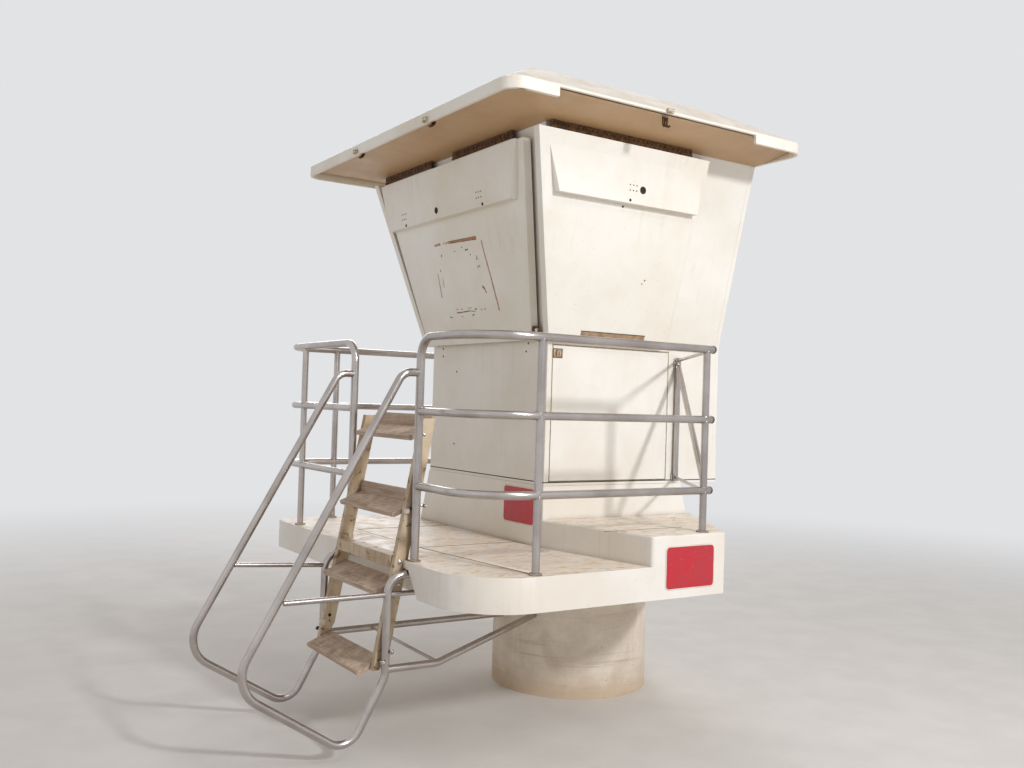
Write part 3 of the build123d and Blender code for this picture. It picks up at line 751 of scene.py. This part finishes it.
# Set screws and a sealant bead at every post foot
screws = bmesh.new()
seal = bmesh.new()
feet = [
    (CORNER_POST_X, NEAR_RAIL_Y, DECK_TOP),
    (END_POST_X, NEAR_RAIL_Y, WALK_TOP),
    (CORNER_POST_X, FAR_RAIL_Y, DECK_TOP),
    (END_POST_X, FAR_RAIL_Y, DECK_TOP),
    (POST_X, BACK_POST_Y, DECK_TOP),
    (POST_X, LADDER_NEAR_Y, DECK_TOP),
    (POST_X, LADDER_FAR_Y, DECK_TOP),
]
for x, y, z in feet:
    tube(seal, ring_points((x, y, z + 0.001), (0, 0, 1), FOOT_R + 0.001, 28), 0.003, True, 8)
    for i in range(3):
        turn = 2 * pi * i / 3 + 0.5
        out = Vector((cos(turn), sin(turn), 0))
        dome(screws, Vector((x, y, z + 0.005)) + out * (FOOT_R - 0.0002), out, 0.0032, 0.0018)
piece("foot_screws", screws, screw_look)
piece("foot_sealant", seal, sealant_look)

# Domed plugs in the rails' free ends
plugs = bmesh.new()
for y in (NEAR_RAIL_Y, FAR_RAIL_Y):
    for z, radius in zip(RAIL_Z, (RAIL_R, RAIL_R, TOP_RAIL_R)):
        profile = [
            (radius * 1.03, -0.004),
            (radius * 1.03, 0.002),
            (radius * 0.9, 0.008),
            (radius * 0.55, 0.012),
            (0, 0.0135),
        ]
        lathe(plugs, profile, 24, facing((RAIL_END_X, y, z), (1, 0, 0)))
piece("rail_end_plugs", plugs, plug_look)

# Keyholes, bolt holes and the marks of old fixings on the shutters


def hole(mesh, point, outward, radius):
    """Dark hole with a thin raised rim."""
    outer = radius * 1.25
    profile = [(outer, -0.001), (outer, 0.0012), (radius, 0.0016), (radius * 0.9, 0.0003), (0, 0.0003)]
    lathe(mesh, profile, 18, facing(point, outward))


holes = bmesh.new()
hole(holes, near_wedge(-0.236, 2.778), NEAR_WEDGE_OUT, 0.016)
hole(holes, near_wedge(-0.318, 2.716), NEAR_WEDGE_OUT, 0.006)
hole(holes, near_face(-0.327, FLAP_OUT, 2.688), NEAR_OUT, 0.005)
for i in range(3):
    for z in (2.768, 2.796):
        hole(holes, near_wedge(-0.323 + 0.022 * i, z), NEAR_WEDGE_OUT, 0.0028)
hole(holes, near_face(-0.089, FLAP_OUT, 2.329), NEAR_OUT, 0.0035)
hole(holes, near_face(-0.104, FLAP_OUT, 2.309), NEAR_OUT, 0.0028)
piece("near_shutter_holes", holes, gap_look, "near_shutter")

holes = bmesh.new()
hole(holes, left_wedge(0.213, 2.740), LEFT_WEDGE_OUT, 0.015)
hole(holes, left_wedge(0.597, 2.703), LEFT_WEDGE_OUT, 0.007)
hole(holes, left_wedge(-0.292, 2.703), LEFT_WEDGE_OUT, 0.007)
for along in (0.617, -0.259):
    for step in (-0.024, 0, 0.024):
        for z in (2.742, 2.772):
            hole(holes, left_wedge(along + step, z), LEFT_WEDGE_OUT, 0.003)
for along, z in ((0.30, 2.50), (0.06, 2.52), (-0.02, 2.47), (-0.08, 2.44), (-0.10, 2.40)):
    hole(holes, left_face(along, FLAP_OUT, z), LEFT_OUT, 0.003)
piece("left_shutter_holes", holes, gap_look, "left_shutter")

holes = bmesh.new()
for y, z in (
    (0.608, 1.986),
    (0.550, 1.963),
    (0.547, 1.917),
    (0.376, 1.821),
    (0.381, 1.386),
    (-0.387, 1.967),
    (-0.368, 1.924),
):
    hole(holes, (CAB_LEFT, y, z), (-1, 0, 0), 0.0045)
for z in (1.131, 0.520):
    for y in STRINGERS:
        for side in (-1, 1):
            hole(holes, (stringer_x(z) + 0.030, y + side * STRINGER_HALF, z), (0, side, 0), 0.007)
piece("wall_and_ladder_holes", holes, gap_look)

# Glue left on the long shutter where a panel was taken off


def ragged_strip(mesh, at, outward, start, end, width, steps):
    """Thin uneven strip on a face; start and end are (along, z)."""
    run = Vector((end[0] - start[0], end[1] - start[1])).normalized()
    across = Vector((-run.y, run.x)) * width / 2
    rows = []
    for i in range(steps + 1):
        share = i / steps
        along = start[0] + share * (end[0] - start[0])
        z = start[1] + share * (end[1] - start[1])
        low = -1 + random.uniform(-0.3, 0.3)
        high = 1 + random.uniform(-0.3, 0.3)
        row = []
        for k, lift in ((low, 0.0), (low * 0.8, 0.0011), (high * 0.8, 0.0011), (high, 0.0)):
            row.append(mesh.verts.new(at(along + across.x * k, z + across.y * k) + outward * lift))
        rows.append(row)
    for first, second in zip(rows, rows[1:]):
        for k in range(3):
            mesh.faces.new((first[k], first[k + 1], second[k + 1], second[k]))
        mesh.faces.new((first[3], first[0], second[0], second[3]))
    mesh.faces.new(rows[0])
    mesh.faces.new(list(reversed(rows[-1])))


def left_flat(along, z):
    return left_face(along, FLAP_OUT - 0.0003, z)


def left_over(along, z):
    return left_face(along, FLAP_OUT + 0.0004, z)


glue = bmesh.new()
for start, end, width, steps in (
    ((0.367, 2.560), (0.296, 2.563), 0.013, 8),
    ((0.264, 2.560), (0.240, 2.567), 0.007, 3),
    ((0.232, 2.557), (0.205, 2.565), 0.008, 3),
    ((0.200, 2.561), (-0.105, 2.553), 0.015, 34),
    ((-0.155, 2.534), (-0.171, 2.442), 0.009, 10),
    ((-0.171, 2.442), (-0.201, 2.309), 0.010, 14),
    ((-0.201, 2.309), (-0.232, 2.148), 0.012, 16),
    ((0.154, 2.505), (0.138, 2.507), 0.006, 2),
    ((-0.092, 2.290), (-0.112, 2.276), 0.014, 4),
    ((0.317, 2.140), (0.284, 2.137), 0.006, 3),
    ((0.180, 2.135), (0.165, 2.136), 0.005, 2),
    ((-0.043, 2.164), (-0.053, 2.163), 0.007, 2),
    ((-0.076, 2.167), (-0.092, 2.163), 0.006, 2),
):
    ragged_strip(glue, left_flat, LEFT_OUT, start, end, width, steps)
piece("panel_glue_marks", glue, glue_look, "left_shutter", smooth=False)

rim = bmesh.new()
for start, end, width, steps in (
    ((0.197, 2.566), (-0.102, 2.561), 0.0035, 30),
    ((0.200, 2.556), (-0.104, 2.545), 0.0035, 30),
    ((-0.103, 2.562), (-0.106, 2.545), 0.0035, 3),
    ((0.029, 2.499), (-0.002, 2.502), 0.007, 4),
    ((0.307, 2.497), (0.301, 2.489), 0.006, 2),
    ((-0.083, 2.458), (-0.088, 2.442), 0.005, 3),
    ((-0.080, 2.404), (-0.086, 2.390), 0.005, 3),
    ((-0.110, 2.284), (-0.129, 2.250), 0.006, 5),
    ((0.381, 2.400), (0.377, 2.334), 0.003, 7),
    ((0.377, 2.334), (0.374, 2.257), 0.0045, 9),
    ((0.345, 2.421), (0.341, 2.406), 0.004, 2),
    ((0.331, 2.368), (0.329, 2.316), 0.002, 5),
    ((0.228, 2.160), (0.157, 2.161), 0.006, 9),
    ((0.152, 2.161), (0.080, 2.164), 0.0065, 9),
    ((0.074, 2.162), (0.022, 2.158), 0.004, 6),
    ((0.226, 2.181), (0.210, 2.180), 0.0035, 2),
    ((0.176, 2.178), (0.160, 2.178), 0.0035, 2),
    ((0.098, 2.180), (0.056, 2.179), 0.003, 4),
    ((0.022, 2.169), (0.002, 2.170), 0.007, 3),
    ((0.058, 2.138), (0.036, 2.141), 0.006, 3),
):
    ragged_strip(rim, left_over, LEFT_OUT, start, end, width, steps)
piece("panel_glue_rims", rim, glue_dark_look, "left_shutter", smooth=False)

# Finger grip set in the near shutter's lower edge, drawn as a flat tan slab whose colour is painted shade
# for the recess, with a dark strip of painted shadow along its top.
grip = bmesh.new()
slab(grip, facing(near_face(-0.236, FLAP_OUT - 0.0005, 2.015), NEAR_OUT), 0.440, 0.036, 0.002, 0.0008)
piece("shutter_grip", grip, grip_recess_shade_look, "near_shutter")
# Painted shadow line along the top of the grip.
shade = bmesh.new()
slab(shade, facing(near_face(-0.236, FLAP_OUT + 0.0005, 2.034), NEAR_OUT), 0.444, 0.005, 0.002, 0.0008)
piece("shutter_grip_shadow_line", shade, seam_and_shadow_look, "near_shutter")

# Latch with a bright knob at the long shutter's lower near corner
latch = bmesh.new()
latch_place = facing((-0.664, -0.510, 2.030), (0, -1, 0))
slab(latch, latch_place, 0.034, 0.040, 0.012, 0.002)
tongue = [(-0.650, -0.514, 2.014), (-0.638, -0.532, 2.010), (-0.632, -0.548, 2.010)]
tube(latch, tongue, 0.007, False, 10)
piece("left_shutter_latch", latch, bronze_look, "left_shutter")
knob = bmesh.new()
knob_profile = [(0.006, 0), (0.006, 0.010), (0.013, 0.014), (0.014, 0.020), (0.009, 0.026), (0, 0.027)]
lathe(knob, knob_profile, 20, latch_place)
piece("left_shutter_knob", knob, chrome_look, "left_shutter")

# Latch plate of the half door, with a pale insert, two screws and two slots


def latch_bar(mesh, x, width, height, thick, ease):
    """Upright flat piece on the half door's face, at the latch's height."""
    slab(mesh, facing((x, CAB_NEAR, LATCH_Z), (0, -1, 0)), width, height, thick, ease)


latch = bmesh.new()
latch_bar(latch, -0.554, 0.060, 0.050, 0.0022, 0.001)
latch_bar(latch, -0.564, 0.006, 0.036, 0.0052, 0.001)
piece("door_latch", latch, bronze_look, "side_door")
insert = bmesh.new()
latch_bar(insert, -0.5575, 0.051, 0.040, 0.0032, 0.0006)
for rise in (-0.014, 0.014):
    dome(insert, (-0.546, CAB_NEAR - 0.003, LATCH_Z + rise), (0, -1, 0), 0.0035, 0.002)
piece("door_latch_insert", insert, catch_look, "side_door")
slots = bmesh.new()
latch_bar(slots, -0.5705, 0.003, 0.032, 0.0038, 0.0004)
latch_bar(slots, -0.5460, 0.0025, 0.018, 0.0038, 0.0004)
piece("door_latch_slots", slots, gap_look, "side_door")

# Old sealant in the half door's gaps, on the frame's side and back from the face
seals = bmesh.new()
for x, z, width, height in (
    (-0.58775, 1.596, 0.0045, 0.729),
    (0.22575, 1.596, 0.0045, 0.729),
    (-0.181, 1.95875, 0.818, 0.0045),
    (-0.181, 1.23225, 0.818, 0.0045),
):
    slab(seals, facing((x, CAB_NEAR + 0.010, z), (0, -1, 0)), width, height, 0.007, 0.0008)
piece("door_gap_sealant", seals, seal_look)

# Hinge leaves: cross slots, screws and the rings between the knuckles


def hinge_parts(name, at, outward, ends, hinge_z):
    """Slots and screws in the upright leaf, rings on the barrel, riding on the roof."""
    slots = bmesh.new()
    pins = bmesh.new()
    rings = bmesh.new()
    length = ends[1] - ends[0]
    count = int(length / HINGE_PITCH)
    middle_z = (hinge_z + KNUCKLE_R + CAB_TOP) / 2
    axis = at(1.0, 0, hinge_z) - at(0.0, 0, hinge_z)
    for i in range(count):
        along = ends[0] + (i + 0.5) * length / count
        face = at(along, HINGE_OFF + LEAF_HALF, hinge_z)
        face.z = middle_z
        if i % 3 == 1:
            dome(pins, face, outward, 0.0055, 0.0028)
        else:
            slab(slots, facing(face, outward), 0.008, CAB_TOP - hinge_z - 0.014, 0.0008, 0.0003)
        if i:
            centre = at(ends[0] + i * length / count, HINGE_OFF, hinge_z)
            tube(rings, ring_points(centre, axis, KNUCKLE_R, 14), 0.0009, True, 5)
    piece(f"{name}_leaf_slots", slots, gap_look)
    piece(f"{name}_leaf_screws", pins, bronze_look)
    piece(f"{name}_barrel_rings", rings, gap_look)


hinge_parts("near_hinge", near_face, Vector((0, -1, 0)), SIDE_STRIP, SIDE_HINGE_Z)
hinge_parts("far_hinge", far_face, Vector((0, 1, 0)), SIDE_STRIP, SIDE_HINGE_Z)
for name, ends in zip(("left_hinge_a", "left_hinge_b"), LEFT_STRIPS):
    hinge_parts(name, left_face, Vector((-1, 0, 0)), ends, LEFT_HINGE_Z)

# Catches on the fascia: two bright screws above a dark hook
screws = bmesh.new()
hooks = bmesh.new()
for point, outward, across in (
    ((-0.343, ROOF_NEAR - 0.014, 3.106), Vector((0, -1, 0)), Vector((1, 0, 0))),
    ((ROOF_LEFT - 0.014, -0.374, 3.064), Vector((-1, 0, 0)), Vector((0, 1, 0))),
    ((ROOF_LEFT - 0.014, 0.473, 3.064), Vector((-1, 0, 0)), Vector((0, 1, 0))),
):
    for side in (-1, 1):
        dome(screws, Vector(point) + across * 0.011 * side, outward, 0.0055, 0.003)
for x, y, z, outward in (
    (-0.343, ROOF_NEAR + 0.032, 3.083, Vector((0, -1, 0))),
    (ROOF_LEFT + 0.030, -0.400, 3.080, Vector((-1, 0, 0))),
    (ROOF_LEFT + 0.030, 0.445, 3.080, Vector((-1, 0, 0))),
):
    side = outward.cross(Vector((0, 0, 1)))
    start = Vector((x, y, z))
    line = []
    for drop, out in ((0, 0), (0.036, 0), (0.050, 0.010), (0.046, 0.022)):
        line.append(start + Vector((0, 0, -drop)) + outward * out)
    for shift in (-0.014, 0, 0.014):
        tube(hooks, [p + side * shift for p in line], 0.005, False, 8)
piece("catch_screws", screws, chrome_look)
piece("catch_hooks", hooks, bronze_look)

# White edging on the red plates; its profile is (inset from the plate's edge, lift from its face)
CORNER_R = 0.018
EDGING_PROFILE = (
    (-0.0065, -0.0032),
    (-0.0065, -0.0012),
    (-0.0055, -0.0003),
    (-0.0005, -0.0003),
    (0.0002, -0.0010),
)


def rounded_loop(width, height, radius):
    """Points round a rectangle with round corners, about its middle."""
    w = width / 2 - radius
    h = height / 2 - radius
    points = []
    for corner, (x, y) in enumerate(((w, h), (-w, h), (-w, -h), (w, -h))):
        for i in range(9):
            turn = (corner + i / 8) * pi / 2
            points.append(Vector((x + radius * cos(turn), y + radius * sin(turn), 0)))
    return points


edging = bmesh.new()
for point, outward, width, height in (
    ((-0.244, DECK_NEAR - 0.003, 0.878), (0, -1, 0), 0.306, 0.198),
    ((CAB_LEFT - 0.003, -0.343, 1.091), (-1, 0, 0), 0.290, 0.190),
):
    place = facing(point, outward)
    rings = []
    for inset, lift in EDGING_PROFILE:
        loop = rounded_loop(width - 2 * inset, height - 2 * inset, CORNER_R - inset)
        rings.append([edging.verts.new(place @ (p + Vector((0, 0, lift)))) for p in loop])
    for low, high in zip(rings, rings[1:]):
        for i in range(len(low)):
            j = (i + 1) % len(low)
            edging.faces.new((low[i], low[j], high[j], high[i]))
    for i in range(len(rings[0])):
        j = (i + 1) % len(rings[0])
        edging.faces.new((rings[-1][i], rings[-1][j], rings[0][j], rings[0][i]))
piece("plate_edging", edging, border_look)

# Dark joint round the cabin's foot
joint = bmesh.new()
for x0, y0, x1, y1 in (
    (CAB_LEFT, CAB_NEAR, CAB_LEFT, CAB_FAR),
    (CAB_LEFT, CAB_NEAR, CAB_REAR, CAB_NEAR),
    (CAB_LEFT, CAB_FAR, CAB_REAR, CAB_FAR),
    (CAB_REAR, CAB_NEAR, CAB_REAR, CAB_FAR),
):
    middle = Vector(((x0 + x1) / 2, (y0 + y1) / 2, CAB_FOOT))
    out = Vector((y1 - y0, x0 - x1, 0)).normalized()
    if out.dot(middle - Vector((0, (CAB_NEAR + CAB_FAR) / 2, CAB_FOOT))) < 0:
        out.negate()
    slab(joint, facing(middle, out), hypot(x1 - x0, y1 - y0) + 0.001, 0.005, 0.0008, 0.0002)
piece("cabin_foot_joint", joint, gap_look)

# Raised seams of the deck panels, each with a pale band beside it
seams = bmesh.new()
bands = bmesh.new()
for start, end in (
    ((-1.215, -0.330), (-0.622, -0.330)),
    ((-1.215, 0.420), (-0.622, 0.420)),
    ((-1.215, -0.330), (-1.128, -1.218)),
    ((-1.215, -0.330), (-1.215, 0.420)),
):
    length = hypot(end[0] - start[0], end[1] - start[1])
    middle = Vector(((start[0] + end[0]) / 2, (start[1] + end[1]) / 2, DECK_TOP))
    along = Vector((end[0] - start[0], end[1] - start[1], 0))
    place = facing(middle, (0, 0, 1), along)
    slab(seams, place, SEAM_W, length, 0.0012, 0.0004)
    beside = place @ Matrix.Translation((-(SEAM_W + BAND_W) / 2, 0, 0))
    slab(bands, beside, BAND_W, length - 0.010, 0.0010, 0.0004)
slab(seams, facing((-0.35, -1.060, WALK_TOP), (0, 0, 1), (1, 0, 0)), 0.004, 0.50, 0.0008, 0.0002)
piece("deck_seams", seams, seam_and_shadow_look)
piece("deck_seam_bands", bands, band_look)

# Ladder fixings: bolts through the stringers into the treads and to the deck
STRINGER_SIDES = ((STRINGERS[0] - STRINGER_HALF, -1), (STRINGERS[1] + STRINGER_HALF, 1))
bolts = bmesh.new()
for i in range(4):
    for reach in (0.055, 0.105):
        x, z = tread_point(i, reach)
        x += 0.010
        if not stringer_x(z) + 0.012 < x < stringer_x(z) + 0.056:
            continue
        for y, side in STRINGER_SIDES:
            hex_bolt(bolts, (x, y, z), (0, side, 0), 0.013, 0.006)
for y, side in STRINGER_SIDES:
    hex_bolt(bolts, (-1.497, y, 0.884), (0, side, 0), 0.017, 0.008)
piece("ladder_bolts", bolts, chrome_look)

# Bolted lugs that tie the ladder's foot and the loops together
lugs = bmesh.new()
for y, (inner, side) in zip((LADDER_NEAR_Y, LADDER_FAR_Y), STRINGER_SIDES):
    for x, z in ((-1.590, 0.437), (-1.549, 0.483)):
        tube(lugs, [(x, inner - side * 0.004, z), (x, y + side * 0.026, z)], 0.005, False, 10)
        hex_bolt(lugs, (x, y + side * 0.024, z), (0, side, 0), 0.014, 0.007)
        tube(lugs, ring_points((x, y + side * 0.022, z), (0, 1, 0), 0.009, 16), 0.0025, True, 6)
piece("loop_lugs", lugs, rail_look)

# Back boards behind the upper two treads
backs = bmesh.new()
clear_width = STRINGERS[1] - STRINGERS[0] - 2 * STRINGER_HALF
for i in (2, 3):
    x, z = tread_point(i, TREAD_DEPTH)
    x = max(x, stringer_x(z + 0.040) + 0.060)
    middle = (x, (STRINGERS[0] + STRINGERS[1]) / 2, z + 0.030)
    slab(backs, facing(middle, (-1, 0, 0.12)), clear_width, 0.062, 0.018, 0.003)
piece("tread_back_boards", backs, board_look)

# Hook rod under the third tread's back board, with a short stub beyond the near stringer
rod = bmesh.new()
rod_line = [
    (-1.405, -0.028, 1.140),
    (-1.405, -0.250, 1.144),
    (-1.407, -0.430, 1.146),
    (-1.430, -0.520, 1.138),
    (-1.455, -0.590, 1.128),
    (-1.462, -0.640, 1.124),
    (-1.462, -0.672, 1.124),
]
stub_line = [(-1.440, -0.664, 1.150), (-1.412, -0.681, 1.148), (-1.388, -0.695, 1.146)]
tube(rod, rod_line, 0.0065, False, 10)
tube(rod, stub_line, 0.0075, False, 12)
stub_end = facing((-1.386, -0.696, 1.146), (0.8, -0.5, -0.04))
lathe(rod, [(0.009, -0.010), (0.0105, -0.003), (0.0095, 0.004), (0, 0.006)], 16, stub_end)
piece("hook_rod", rod, rail_look)
clips = bmesh.new()
slab(clips, facing((-1.470, -0.6675, 1.121), (0, -1, 0)), 0.030, 0.024, 0.012, 0.004)
slab(clips, facing((-1.603, -0.0275, 0.487), (0, -1, 0)), 0.034, 0.030, 0.010, 0.003)
piece("rod_clips", clips, border_look)

# Bolts on the end frames' brackets
bolts = bmesh.new()
for wall, side in ((CAB_NEAR, -1), (CAB_FAR, 1)):
    for z in (1.246, 1.890):
        hex_bolt(bolts, (FRAME_X, wall + side * 0.025, z), (0, side, 0), 0.013, 0.006)
        for shift in (-0.0185, 0.0185):
            dome(bolts, (FRAME_X + shift, wall + side * 0.0150, z + 0.012), (0, side, 0), 0.0030, 0.0018)
piece("frame_bolts", bolts, chrome_look)

# Casting rims on the pedestal: board marks left level round the drum
rims = bmesh.new()
for z, proud in ((0.205, 0.0022), (0.318, 0.0016), (0.452, 0.0024), (0.590, 0.0018), (0.668, 0.0014)):
    points = []
    for i in range(120):
        turn = 2 * pi * i / 120
        wobble = 0.0022 * sin(3 * turn + z * 40) + 0.0012 * sin(11 * turn + z * 90)
        points.append((PEDESTAL_R * cos(turn) * 0.999, PEDESTAL_R * sin(turn) * 0.999, z + wobble))
    tube(rims, points, proud, True, 6)
piece("pedestal_board_marks", rims, concrete_look)

# Camera as the photograph was taken
CAMERA_AT = (-3.641, -4.856, 1.644)
LENS = 35.11
AZIMUTH = radians(33.19)
PITCH = radians(1.07)
ROLL = radians(1.79)
ahead = Vector((sin(AZIMUTH) * cos(PITCH), cos(AZIMUTH) * cos(PITCH), sin(PITCH)))
level = Vector((cos(AZIMUTH), -sin(AZIMUTH), 0))
upright = level.cross(ahead)
right = cos(ROLL) * level + sin(ROLL) * upright
over = -sin(ROLL) * level + cos(ROLL) * upright
camera_data = bpy.data.cameras.new("camera")
camera_data.lens = LENS
camera_data.sensor_width = 36
camera = bpy.data.objects.new("camera", camera_data)
turned = Matrix((right, over, -ahead)).transposed().to_4x4()
camera.matrix_world = Matrix.Translation(CAMERA_AT) @ turned
bpy.context.scene.collection.objects.link(camera)
bpy.context.scene.camera = camera

# Floor: pale, fading into the background with distance from the tower
FLOOR_R = 90.0
FLOOR_FADE = (2.6, 11.0)
ground = bmesh.new()
bmesh.ops.create_circle(ground, cap_ends=True, segments=96, radius=FLOOR_R)
floor_data = bpy.data.meshes.new("floor")
ground.to_mesh(floor_data)
ground.free()
floor = bpy.data.objects.new("floor", floor_data)
bpy.context.scene.collection.objects.link(floor)

BACKDROP = tone(226, 227, 229)
floor_look = Look("floor_look")
grain = floor_look.span(floor_look.noise(3, 3), 0.3, 0.7)
floor_colour = floor_look.blend(grain, tone(224, 222, 218), tone(218, 216, 212))
floor_look.finish(floor_colour, 0.9)
far_glow = floor_look.node("ShaderNodeEmission")
far_glow.inputs["Color"].default_value = BACKDROP
reach = floor_look.node("ShaderNodeVectorMath", operation="LENGTH")
floor_look.put(reach.inputs[0], floor_look.place)
fade = floor_look.node("ShaderNodeMixShader")
floor_look.put(fade.inputs[0], floor_look.span(reach.outputs["Value"], *FLOOR_FADE))
floor_look.put(fade.inputs[1], floor_look.shader.outputs[0])
floor_look.put(fade.inputs[2], far_glow.outputs[0])
floor_look.put(floor_look.output.inputs["Surface"], fade.outputs[0])
floor_data.materials.append(floor_look.material)

# Daylight dome for the light, plain pale backdrop for what the camera and the metal see
SKY_LIGHT = 0.46
world = bpy.data.worlds.new("studio")
world.use_nodes = True
bpy.context.scene.world = world
tree = world.node_tree
tree.nodes.clear()


def glow(colour, strength):
    made = tree.nodes.new("ShaderNodeBackground")
    made.inputs["Color"].default_value = colour
    made.inputs["Strength"].default_value = strength
    return made.outputs[0]


def choose(share, first, second):
    made = tree.nodes.new("ShaderNodeMixShader")
    tree.links.new(share, made.inputs[0])
    tree.links.new(first, made.inputs[1])
    tree.links.new(second, made.inputs[2])
    return made.outputs[0]


path = tree.nodes.new("ShaderNodeLightPath")
shown = glow(tone(244, 238, 234), SKY_LIGHT)
for ray in ("Is Camera Ray", "Is Glossy Ray", "Is Transmission Ray"):
    shown = choose(path.outputs[ray], shown, glow(BACKDROP, 1.0))
world_out = tree.nodes.new("ShaderNodeOutputWorld")
tree.links.new(shown, world_out.inputs["Surface"])


def softbox(name, place, target, size, watts, tint):
    """Large square lamp aimed at a point."""
    data = bpy.data.lights.new(name, "AREA")
    data.shape = "SQUARE"
    data.size = size
    data.energy = watts
    data.color = tint[:3]
    lamp = bpy.data.objects.new(name, data)
    lamp.matrix_world = facing(place, Vector(place) - Vector(target))
    bpy.context.scene.collection.objects.link(lamp)


softbox("key", (0.4, -8.5, 5.2), (-0.3, -0.3, 1.6), 0.7, 375, tone(252, 252, 255))
softbox("high", (-0.3, -6.5, 8.0), (-0.4, -0.4, 1.2), 2.5, 90, tone(255, 252, 248))
softbox("fill", (-7.5, -3.5, 4.0), (-0.5, 0.0, 1.6), 4.0, 8, tone(255, 246, 240))
softbox("back", (2.5, 7.5, 5.5), (0.0, 0.2, 1.8), 4.0, 240, tone(250, 250, 255))

bpy.context.scene.view_settings.view_transform = "Standard"
